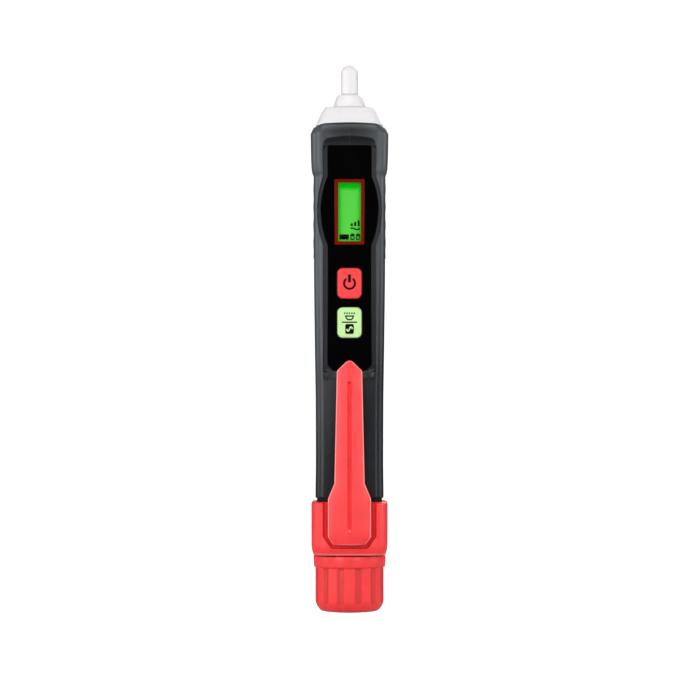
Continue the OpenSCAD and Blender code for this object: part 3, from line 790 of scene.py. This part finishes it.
def make_side_grips():
    """Ribbed rubber pads: a low wave along the flank, with rounded borders."""
    crest, pitch, first = 0.1, 5.2, 107.9
    z = steps((GRIP_Z0 + 0.1, GRIP_Z0 + 0.7, 0.12), (GRIP_Z0 + 0.7, GRIP_Z1 - 0.7, 0.3),
              (GRIP_Z1 - 0.7, GRIP_Z1 - 0.1, 0.12))
    half = grip_high[1]
    y = steps((-half, -half + 0.6, 0.12), (-half + 0.6, half - 0.6, 1.2), (half - 0.6, half, 0.12))
    zz, yy = np.meshgrid(z, y, indexing="ij")
    edge = np.minimum(np.minimum(zz - z[0], z[-1] - zz), half - np.abs(yy))
    fall = 0.35 * (1 - np.sqrt(1 - rise(edge, 0.5, 0) ** 2))
    wave = crest * (0.5 + 0.5 * np.cos(2 * math.pi * (zz - first) / pitch)) ** 1.5
    outer_x = grip_high[0] - 0.13 + wave - fall
    inner_x = np.full_like(zz, -grip_low[0] - 1.33)
    for side, name in ((-1, "left_grip_pad"), (1, "right_grip_pad")):
        outer = np.stack([side * outer_x, yy, zz], axis=-1)
        inner = np.stack([side * inner_x, yy, zz], axis=-1)
        make_piece(name, sheet_solid(outer, inner), "casing", "grip", "side_grips")


# Fascia, display and buttons

def make_fascia():
    """Gloss panel with openings for the display and the buttons."""
    rim = panel_outline(FASCIA_HW, FASCIA_SWELL, FASCIA_Z0, 1.95, FASCIA_Z1, 0.9, 0)
    holes = [rounded_box(0, FRAME_MID, 2 * FRAME_HW + 0.1, 2 * FRAME_HH + 0.1, 0.12, 3)]
    holes += [rounded_box(0, z, BUTTON_W + 0.3, BUTTON_H + 0.3, 1.65) for z in (POWER_Z, FUNCTION_Z)]
    make_plate("gloss_fascia", [rim] + [hole[::-1] for hole in holes], FASCIA_BACK, FASCIA_FRONT, 0.1,
               "casing", "fascia", "fascia")


def make_display():
    """Red surround and clear lens."""
    outer = rounded_box(0, FRAME_MID, 2 * FRAME_HW + 0.14, 2 * FRAME_HH + 0.14, 0.15, 3)
    w, h = 2 * (FRAME_HW - FRAME_RIM), 2 * (FRAME_HH - FRAME_RIM)
    inner = rounded_box(0, FRAME_MID, w, h, 0.15, 3)
    make_plate("display_surround", [outer, inner[::-1]], FASCIA_BACK + 0.02, FASCIA_FRONT + 0.1, 0.07,
               "casing", "frame_red", "display_frame")
    make_plate("display_lens", [rounded_box(0, FRAME_MID, w - 0.06, h - 0.06, 0.12, 3)], FASCIA_BACK + 0.25,
               FASCIA_FRONT - 0.12, 0.05, "casing", "display_window", "display_window")


def bar(x0, z0, x1, z1, w):
    """Outline of a straight bar of width w from one point to another."""
    ux, uz = x1 - x0, z1 - z0
    size = math.hypot(ux, uz)
    nx, nz = -uz / size * w / 2, ux / size * w / 2
    return [(x0 - nx, z0 - nz), (x1 - nx, z1 - nz), (x1 + nx, z1 + nz), (x0 + nx, z0 + nz)]


def band(points, w):
    """Outline of a band of width w along a line of points."""
    pts = np.array(points, float)
    along = np.gradient(pts, axis=0)
    along /= np.linalg.norm(along, axis=1)[:, None]
    normal = np.stack([-along[:, 1], along[:, 0]], axis=1) * w / 2
    return [tuple(p) for p in pts - normal] + [tuple(p) for p in (pts + normal)[::-1]]


def digit_zero(x, z, w, h, t):
    """The six segments of a seven-segment nought, as separate bars."""
    g = 0.06
    return [bar(x + g, z + h, x + w - g, z + h, t), bar(x + g, z, x + w - g, z, t),
            bar(x, z + g, x, z + h / 2 - g, t), bar(x, z + h / 2 + g, x, z + h - g, t),
            bar(x + w, z + g, x + w, z + h / 2 - g, t), bar(x + w, z + h / 2 + g, x + w, z + h - g, t)]


def make_segments():
    """Dark marks on the display: level bars, a wave, a charge block and two noughts."""
    face = -lcd_low[1]
    level = [bar(0.65 + i, 112.65, 0.65 + i, 113.45 + 0.45 * i, 0.62) for i in range(3)]
    wave = [(0.3 + 2.7 * t, 111.85 + 0.22 * math.sin(2 * math.pi * t + 0.4)) for t in np.linspace(0, 1, 15)]
    block = [rounded_box(-1.55, 109.5, 2.75, 1.5, 0.12, 3)]
    digits = digit_zero(0.4, 108.8, 0.92, 1.5, 0.4) + digit_zero(2.0, 108.8, 0.92, 1.5, 0.4)
    for name, outlines in (("level_marks", level), ("wave_mark", [band(wave, 0.42)]), ("charge_mark", block),
                           ("digit_marks", digits)):
        make_plate(name, outlines, face, face + 0.03, 0.005, "casing", "lcd", look="segments")


def make_button(name, body, mid, node, slot):
    """Soft keycap: crowned in front, hollow behind, with a flange and a stem."""
    hw, hh, front = BUTTON_W / 2, BUTTON_H / 2, BUTTON_FRONT

    def ring(y, inset, r):
        return [(x, -y, z) for x, z in rounded_box(0, mid, 2 * (hw - inset), 2 * (hh - inset), r, 7)]

    dome = [(-0.32, 0, 1.5), (-0.17, 0.04, 1.48), (-0.06, 0.14, 1.4), (-0.01, 0.3, 1.3), (0.02, 0.8, 1.0),
            (0.03, 1.8, 0.6), (0.035, 2.9, 0.3)]
    rings = [ring(9.35, 2.9, 0.3), ring(9.35, 0.8, 0.7), ring(7.3, 0.8, 0.7)]
    flange = [(7.3, 0.5), (7.65, 0.5), (7.65, 0.0)]
    rings += [[(x, -y, z) for x, z in rounded_box(0, mid, 2 * (hw + g), 2 * (hh + 0.9 * g), 1.5, 7)]
              for y, g in flange]
    rings += [ring(front + y, inset, r) for y, inset, r in dome]
    stem = rod_y(0, mid, 0.9, -9.4, -8.56, 20)
    make_piece(name, joined(skin(rings), stem), body, slot, node)


def print_on_key(name, outlines, body, slot):
    """Marks printed on the crown of a button."""
    make_plate(name, outlines, BUTTON_FRONT + 0.015, BUTTON_FRONT + 0.06, 0.008, body, slot, look="ink")


def make_power_symbol():
    """Standby sign: an open ring with a bar in its gap."""
    gap = 34
    ring = arc(0, POWER_Z, 1.58, 90 + gap, 450 - gap, 40)
    print_on_key("power_symbol", [band(ring, 0.6), bar(0, POWER_Z + 0.3, 0, POWER_Z + 2.6, 0.82)],
                 "power_key", "button_red")


def make_function_symbol():
    """Lamp sign over a line, and a dark tile with a wave below it."""
    z = FUNCTION_Z
    rays = [bar(x, z + 2.45, x, z + 2.95, 0.36) for x in np.linspace(-1.4, 1.4, 5)]
    bowl = [(-1.35, z + 2.1), (-1.15, z + 1.25), (-0.6, z + 0.7)]
    hollow = [(-0.88, z + 1.7), (-0.76, z + 1.38), (-0.42, z + 1.08)]
    bowl, hollow = ([*left, *((-x, h) for x, h in reversed(left))] for left in (bowl, hollow))
    line = bar(-2.2, z + 0.12, 2.2, z + 0.12, 0.38)
    print_on_key("lamp_symbol", [*rays, bowl, hollow[::-1], line], "function_key", "button_green")
    tile_z = z - 1.85
    curve = [(x, tile_z + 0.62 * math.sin(math.pi * x / 0.85)) for x in np.linspace(-0.85, 0.85, 17)]
    print_on_key("mode_tile", [rounded_box(0, tile_z, 2.5, 2.9, 0.5, 5), band(curve, 0.4)[::-1]],
                 "function_key", "button_green")


# Nose

def make_nose():
    """Milky thimble: rounded shoulder, cone and tip outside, stepped bores inside."""
    hw, skirt, hollow = HEAD_HW, HEAD_HW - 2.2, HEAD_HW - 3.3
    z0, z1, tip = nose_low[2], nose_high[2], 2.5
    lip, shoulder = SHELL_Z1 + 0.05, z1 - 12.5
    body = [(z0, skirt, skirt, 1.9), (lip - 0.5, skirt, skirt, 1.9), (lip - 0.01, skirt, skirt, 1.9),
            (lip, hw - 1.6, 10.0, 3), (lip + 0.08, hw - 1.5, 10.1, 3), (lip + 0.45, hw - 1.5, 10.1, 3),
            (lip + 0.6, hw - 1.62, 9.98, 3)]
    body += [(lip + 0.6 + t * (shoulder - lip - 1.1), hw - 1.62 - 2.3 * t, 9.98 - 2.58 * t, 3 - 0.6 * t)
             for t in (0.25, 0.5, 0.75, 1)]
    body += [(shoulder - 0.25, hw - 4.12, 7.2, 2.4), (shoulder - 0.07, hw - 4.35, 6.95, 2.4),
             (shoulder, hw - 4.7, 6.6, 2.3)]

    def lowered(x, y, z):
        share = rise(z, shoulder - 0.4, lip + 0.6) * rise(z, lip - 0.5, lip - 0.2)
        return x, y, z - crown(x) * share

    cone = [(0, 5.0), (0.08, 4.82), (0.5, 4.75), (3.05, 3.8), (3.3, 3.66), (3.75, 3.3), (3.9, 3.0),
            (3.92, 2.62), (4.0, 2.52), (4.3, 2.5)]
    outer = [[lowered(*point) for point in rounded_ring(*row)] for row in body]
    outer += [circle_ring(shoulder + z, r) for z, r in cone]
    outer += [circle_ring(z1 - tip + tip * math.sin(a), tip * math.cos(a)) for a in np.linspace(0, 1.52, 9)]
    bore = [(z1 - 2.35, 0.2), (z1 - 2.5, 0.9), (z1 - 2.9, 1.5), (z1 - 3.4, 1.7), (shoulder + 2.5, 1.7),
            (shoulder + 2.45, 2.6), (shoulder - 1.2, 2.6)]
    inner = [circle_ring(z, r) for z, r in bore]
    square = [(shoulder - 1.4, 5.4), (SHELL_Z1 + 0.5, hollow), (z0, hollow)]
    inner += [rounded_ring(z, w, w, 1.4) for z, w in square]
    rings = np.array(outer + inner, float)
    m, n = rings.shape[:2]
    top = len(outer) - 1
    faces = bands(0, top, n) + bands(top + 1, m - 1, n)
    faces += [tuple(range(j * n, j * n + n)) for j in (top, top + 1)]
    faces += [(i, (i + 1) % n, (m - 1) * n + (i + 1) % n, (m - 1) * n + i) for i in range(n)]
    nose = make_piece("clear_nose", (rings.reshape(-1, 3), faces), "casing", "clear_nose", "nose")
    # Painted shade: greyer rings where the nose bends, at the foot of its cone and at the foot of its tip
    heights, amounts = zip((-0.3, 0), (0, 0.8), (0.12, 0.8), (0.5, 0), (3.7, 0), (3.9, 0.9), (4.02, 0.9),
                           (4.3, 0))
    store_amount(nose, "bend_shade", lambda x, y, z: np.interp(z - shoulder, heights, amounts))


# Collar and clip

BAY_KEYS = [(19, 5.2), (22.5, 7.83), (40, 7.83)]    # height and half width of the collar's recess
CLIP_BAY = [(w, z) for z, w in BAY_KEYS] + [(-w, z) for z, w in reversed(BAY_KEYS)]
BAY_D = 9.9                      # its floor
GROOVE_HW, GROOVE_Z0, GROOVE_Z1 = 0.6, 24.9, 67.5
CLIP_GROOVE = [(-GROOVE_HW, GROOVE_Z0), (GROOVE_HW, GROOVE_Z0),
               (GROOVE_HW, GROOVE_Z1), (-GROOVE_HW, GROOVE_Z1)]
CLIP_FACE_Y = -12.7              # points in front of this are on the clip's face
GATE_Z = 24.1                    # mark of the mould's gate, under the groove


def make_collar():
    """Square collar with rounded corners and a U-shaped recess round the clip's foot."""
    hw, z0, z1 = collar_high[0], collar_low[2], collar_high[2]
    z = steps((z0, z0 + 0.5, 0.1), (z0 + 0.5, 18.7, 0.3), (18.7, 19.3, 0.06), (19.3, 22.8, 0.2),
              (22.8, z1 - 0.9, 1.0), (z1 - 0.9, z1, 0.1))
    keys = [(z0, hw - 0.9, 5), (z0 + 0.12, hw - 0.68, 5), (z0 + 0.9, hw - 0.36, 5), (z0 + 1.8, hw - 0.15, 5),
            (z0 + 3, hw - 0.04, 5), (27, hw, 5), (z1 - 0.8, hw, 5), (z1 - 0.45, hw - 0.12, 4.9),
            (z1 - 0.15, hw - 0.42, 4.7), (z1 - 0.02, hw - 0.8, 4.5), (z1, hw - 1.2, 4.4)]
    width, r = smooth_through(z, keys).T
    edge = np.interp(z, *zip(*BAY_KEYS))
    mark = reach(np.minimum(edge, width - 0.6), width, r)
    flat = width - r
    corner = flat + r * math.pi / 2
    half = corner + flat
    breaks = [0 * z, mark - 0.5, mark - 0.12, mark + 0.12, mark + 0.5, corner, 2 * half - corner,
              2 * half - flat, 2 * half]
    length = columns(breaks, [8, 3, 4, 3, 8, 2, 10, 3])
    width, r, half = width[:, None], r[:, None], half[:, None]
    zz = z[:, None] * np.ones_like(length)

    def around(path, half_path, *section):
        """x and depth along a section from the middle of its front to the middle of its back."""
        x, d = on_section(np.minimum(path, 2 * half_path - path), *section)
        return x, np.where(path <= half_path, d, -d)

    x, d = around(length, half, width, width, r)
    inside = distance_to(x, zz, CLIP_BAY)
    rim = 11.14
    bay = np.where(inside < 0, np.maximum(rim + 9 * inside, BAY_D), rim + 6 * inside)
    d = np.where(d > 0, soft_min(d, bay, 0.12), d)
    bore, bore_r = 8.68, 4
    in_half = bore - bore_r + bore_r * math.pi / 2 + bore - bore_r
    in_x, in_d = around(length / (2 * half) * 2 * in_half, in_half, bore, bore, bore_r)

    def ring(gx, gd):
        half_ring = np.stack([gx, -gd, zz], axis=-1)
        return np.concatenate([half_ring, half_ring[:, -2:0:-1] * (-1, 1, 1)], axis=1)

    shape = sheet_solid(ring(x, d), ring(in_x, in_d), around=True)
    collar = make_piece("clip_collar_moulding", shape, "casing", "red_plastic", "clip_collar",
                        "collar_red", 36)
    # painted shade in the recess round the clip's foot, on the front only
    store_amount(collar, "recess", lambda x, y, z: inside_of(CLIP_BAY, x, z) * (y < -8.5))
    # painted highlight along the front of the collar's lower edge
    store_amount(collar, "rim", lambda x, y, z: near(z, z0 + 0.35, 0.3) * 0.7 * (y < 0))


def make_clip():
    """Pocket clip: a tapered blade with a roofed face, a groove down it and a broad foot."""
    tip, pad, back, root = 3.7, clip_high[0], 12.3, 10.5
    z = steps((clip_low[2], clip_low[2] + 0.6, 0.1), (clip_low[2] + 0.6, 24, 0.4), (24, 25.2, 0.15),
              (25.2, 33, 1.3), (33, 38.6, 0.35), (38.6, 60, 2.0), (60, 66.6, 0.5), (66.6, 68, 0.15),
              (68, 70, 0.4), (70, 71.6, 0.12), (71.6, 73.1, 0.25), (73.1, 73.6, 0.08))
    outline = list(zip((20, pad - 1.7), (22.4, pad), (33.6, pad), (38, tip + 0.7), (70.1, tip),
                       (70.5, tip - 0.08), (71.1, tip - 0.45), (71.5, tip - 0.95), (73.25, 1.0),
                       (73.45, 0.6), (73.62, 0.12)))
    half = np.interp(z, *outline)
    front = smooth_through(z, [(20, back + 1.0), (22, back + 1.35), (25, back + 1.6), (36, back + 1.9),
                               (71, back + 1.75), (74, back + 1.62)])[:, 0]
    front = front - 0.5 * rise(z, 20.55, 20) ** 2
    rear = np.interp(z, [20, 32.8, 35.5, 37.5, 60.5, 63.5, 65, 66.5, 70.5, 74],
                     [root, root, 11.4, back, back, 10.9, 10.76, 10.9, back, back + 0.4])
    groove = 0.6 * rise(z, GROOVE_Z0, GROOVE_Z0 + 0.4) * rise(z, GROOVE_Z1, GROOVE_Z1 - 0.5)
    gap = np.minimum(0.58, half * 0.35)
    bevel = np.minimum(0.38, half * 0.4)

    def roof(x):
        return front - 0.13 * np.abs(x)

    edge, middle = roof(half - bevel), (gap + half - bevel) / 2
    right = [(0 * z, front - groove + np.where(groove > 0.02, -0.02, 0.0)),
             (gap - 0.06, front - groove - 0.02), (gap, roof(gap)), (gap + 0.08, roof(gap + 0.08)),
             (middle, roof(middle)), (half - bevel, edge), (half - 0.55 * bevel, edge - 0.18 * bevel),
             (half - 0.15 * bevel, edge - 0.62 * bevel), (half, edge - 1.15 * bevel), (half, rear + 0.25),
             (half - 0.08, rear + 0.08), (half - 0.25, rear), (half * 0.4, rear)]
    outside = right + [(0 * z, rear)] + [(-x, d) for x, d in reversed(right[1:])]
    rings = np.stack([np.stack([x, -d, z], axis=-1) for x, d in outside], axis=1)
    turn = np.linspace(0, 2 * math.pi, 24, endpoint=False)
    bead = skin([[(x, -10.15 + 0.9 * math.sin(t), 23 + 0.9 * math.cos(t)) for t in turn] for x in (-4, 4)])
    gate = cone_y(0, GATE_Z, [(-14.2, 0.3), (-13.92, 0.36), (-13, 0.36)], 16)
    clip = make_piece("pocket_clip_moulding", joined(skin(rings), bead, gate), "clip", "red_plastic",
                      "pocket_clip", "clip_red", 26)

    # Painted highlights along the face's bevelled edges and the foot's lower edge, and a paler dot on the
    # gate mark
    def pale_parts(x, y, z):
        from_edge = np.interp(z, *outline) - np.abs(x)
        bevelled = rise(from_edge, 0, 0.05) * rise(from_edge, 0.3, 0.22)
        foot = 0.8 * near(z, clip_low[2] + 0.3, 0.25)
        gate_mark = 0.6 * (np.hypot(x, z - GATE_Z) < 0.4) * (y < -13.88)
        return np.maximum(np.maximum(bevelled, foot) * (y < CLIP_FACE_Y), gate_mark)

    # painted shade in the groove down the clip's face
    store_amount(clip, "recess", lambda x, y, z: inside_of(CLIP_GROOVE, x, z) * (y < CLIP_FACE_Y))
    store_amount(clip, "rim", pale_parts)


# Battery cap

def helix(r0, r1, z, start, turns, lead, base, per_turn=36):
    """Trapezoid ridge that winds up between two radii."""
    rings = []
    count = round(per_turn * turns)
    for i in range(count + 1):
        t = start + 2 * math.pi * i / per_turn
        h = z + lead * i / per_turn
        taper = min(1, 4 * i / count, 4 * (count - i) / count) * 0.97 + 0.03
        wide, thin = base / 2 * taper, base / 4 * taper
        rings.append([(r * math.cos(t), r * math.sin(t), h + dz)
                      for r, dz in ((r0, -wide), (r0, wide), (r1, thin), (r1, -thin))])
    return skin(rings)


def make_cap():
    """Fluted screw cap with a band at its mouth, hollow inside with a two-start thread."""
    r, top = cap_high[0] - 0.6, cap_high[2]
    flutes, flute_r, centre = 12, 3.0, r + 2.6
    pitch, half = 360 / flutes, 7.79                 # in degrees, half of one flute
    offsets = [-half, -half + 0.35, -5, -2.5, 0, 2.5, 5, half - 0.35, half, 11.4]
    turn = np.radians([pitch * (i + 0.5) + a for i in range(flutes) for a in offsets])
    within = np.abs(np.degrees(turn) % pitch - pitch / 2)
    angle = np.radians(np.minimum(within, half))
    hollow = centre * np.cos(angle) - np.sqrt(np.maximum(flute_r ** 2 - (centre * np.sin(angle)) ** 2, 0))
    hollow = np.where(within < half - 0.01, hollow, 99)
    outside = [(0, 1.0), (0, 5.0), (0.14, r - 3.4), (0.3, r - 2.4), (0.42, r - 1.9), (0.55, r - 1.6),
               (0.95, r - 1.15), (1.75, r - 0.58), (2.6, r - 0.16), (3.0, r - 0.05), (3.5, r), (8, r),
               (11.9, r), (12.45, r), (12.75, r), (13.15, r), (13.22, r + 0.05), (13.3, r + 0.3),
               (13.4, r + 0.42), (13.6, r + 0.48), (top - 0.4, r + 0.6), (top - 0.15, r + 0.57),
               (top - 0.03, r + 0.45), (top, r + 0.3)]
    inside = [(top, 9.1), (top - 0.15, 8.95), (13.4, 8.95), (13.3, 8.5), (4.9, 8.5), (4.9, 7.3), (1.8, 7.3),
              (1.8, 4.0), (1.8, 1.0)]

    def ring(z, radius):
        return np.stack([radius * np.cos(turn), radius * np.sin(turn), 0 * turn + z], axis=1)

    def fluted(z, radius):
        """Radius all round at one height: the flutes fade out at the rounded foot and end at the band."""
        if radius <= 7.5:
            return radius
        at = np.minimum(radius, hollow + np.interp(z, [12.9, 13.3], [0, 1.2]))
        if z < 3.4:
            at = np.minimum(at, np.where(hollow < 90, hollow - (r - radius) * 0.9, 99))
            at = np.maximum(at, radius - 0.45)
        return at

    rings = [ring(z, fluted(z, radius)) for z, radius in outside] + [ring(z, radius) for z, radius in inside]
    ridges = [helix(8.8, 8.0, 8.25, start, 0.8, 5, 0.9) for start in (0, math.pi)]
    cap = make_piece("battery_cap_moulding", joined(skin(rings), *ridges), "cap", "red_plastic",
                     "battery_cap", "cap_red", 20)

    # Painted shade in the flutes' hollows, between the rounded foot and the band
    def in_flutes(x, y, z):
        from_axis = np.hypot(x, y)
        return rise(from_axis, r, r - 0.35) * (from_axis > r - 0.6) * rise(z, 2.6, 3.1) * (z < 13.3)

    store_amount(cap, "recess", in_flutes)


# CAD nodes that stay, with their own finishes

def finish_cad_nodes():
    """Give each CAD node that is still shown the finish of its slot."""
    slots = {row["node"]: row["material_slot"] for row in frame["record"]["subparts"]}
    for node, piece in frame["nodes"].items():
        if piece.hide_render:
            continue
        piece.data.materials.clear()
        piece.data.materials.append(material[slots[node]])


# Studio

FLOOR_Z = -11                    # low enough for the cap when it is unscrewed
SEEN, AMBIENT, GLOSS = 1.1, 0.12, 0.03   # the room's strength to the camera, to matt and to glossy surfaces
CAMERA_AT, LENS = (0.00014, -1.15, 0.07665), 202    # a place in metres, and a focal length
LIGHTS = [  # name, place in metres, height aimed at on the axis, power, width, height
    ("left_side", (-0.85, -0.1, 0.3), 0.12, 3.2, 0.5, 0.6),
    ("right_side", (0.85, -0.1, 0.3), 0.12, 3.2, 0.5, 0.6),
    ("left_softbox", (-0.58, -0.72, 0.3), 0.08, 2.7, 0.25, 0.6),
    ("left_strip", (-0.24, -0.9, 0.2), 0.08, 0.75, 0.06, 0.6),
    ("right_softbox", (0.6, -0.66, 0.45), 0.12, 1.65, 0.22, 0.5),
    ("right_strip", (0.22, -0.9, 0.2), 0.08, 0.35, 0.06, 0.6),
    ("key", (-0.04, -0.34, 0.55), 0.12, 0.9, 0.3, 0.2),
    ("low_right", (0.35, -0.75, 0.05), 0.02, 0.82, 0.2, 0.2),
    ("low_left", (-0.4, -0.75, 0.05), 0.02, 0.7, 0.2, 0.2),
    ("back_fill", (0.2, 0.9, 0.6), 0.08, 4.0, 0.8, 0.5),
]


def make_floor():
    """Pale floor that also shines a little to the camera, so that it shows as white as the room."""
    grid = np.linspace(-600, 600, 25)
    n = len(grid)
    verts = [(x, y, FLOOR_Z) for y in grid for x in grid]
    faces = [(j * n + i, j * n + i + 1, (j + 1) * n + i + 1, (j + 1) * n + i)
             for j in range(n - 1) for i in range(n - 1)]
    floor = new_object("floor", new_mesh("floor", (verts, faces)))
    pale = surface("pale_floor", (0.46, 0.46, 0.46), (0.48, 0.48, 0.48), 0.8, 2.0, 0.01, patch=60.0,
                   Specular_IOR_Level=0.1, Emission_Color=(1, 1, 1, 1))
    to_camera = add_node(pale.node_tree, "LightPath").outputs["Is Camera Ray"]
    put(calculate(pale.node_tree, "MULTIPLY", to_camera, 0.85),
        pale.node_tree.nodes["Principled BSDF"].inputs["Emission Strength"])
    floor.data.materials.append(pale)


def make_room():
    """White surroundings that light the pen softly and show little in its glossy parts."""
    world = bpy.data.worlds.new("white_room")
    bpy.context.scene.world = world
    world.use_nodes = True
    tree = world.node_tree
    tree.nodes.clear()
    path = add_node(tree, "LightPath").outputs

    def white(strength):
        return add_node(tree, "Background", (1, 1, 1, 1), strength).outputs[0]

    def mixed(share, first, second):
        return add_node(tree, "MixShader", share, first, second).outputs[0]

    straight = calculate(tree, "MAXIMUM", path["Is Camera Ray"], path["Is Transmission Ray"])
    room = mixed(straight, mixed(path["Is Glossy Ray"], white(AMBIENT), white(GLOSS)), white(SEEN))
    add_node(tree, "OutputWorld", room)


def make_lights():
    """Soft lights from LIGHTS, each aimed at the pen's axis."""
    for name, place_at, aim_z, power, wide, high in LIGHTS:
        data = bpy.data.lights.new(name, "AREA")
        data.shape = "RECTANGLE"
        data.size, data.size_y = wide, high
        data.energy = power
        lamp = new_object(name, data)
        lamp.location = place_at
        lamp.rotation_euler = (Vector((0, 0, aim_z)) - Vector(place_at)).to_track_quat("-Z", "Y").to_euler()


def make_camera():
    """Long lens in front of the display, level with the middle of the pen."""
    data = bpy.data.cameras.new("camera")
    data.sensor_width = 36
    data.lens = LENS
    data.clip_start, data.clip_end = 0.05, 20
    camera = new_object("camera", data)
    camera.location = CAMERA_AT
    camera.rotation_euler = (math.pi / 2, 0, 0)
    bpy.context.scene.camera = camera
    bpy.context.scene.view_settings.view_transform = "Standard"


make_camera()
make_casing()
make_side_grips()
make_fascia()
make_display()
make_segments()
make_button("power_keycap", "power_key", POWER_Z, "power_button", "button_red")
make_button("function_keycap", "function_key", FUNCTION_Z, "function_button", "button_green")
make_power_symbol()
make_function_symbol()
make_nose()
make_collar()
make_clip()
make_cap()
finish_cad_nodes()
make_floor()
make_room()
make_lights()
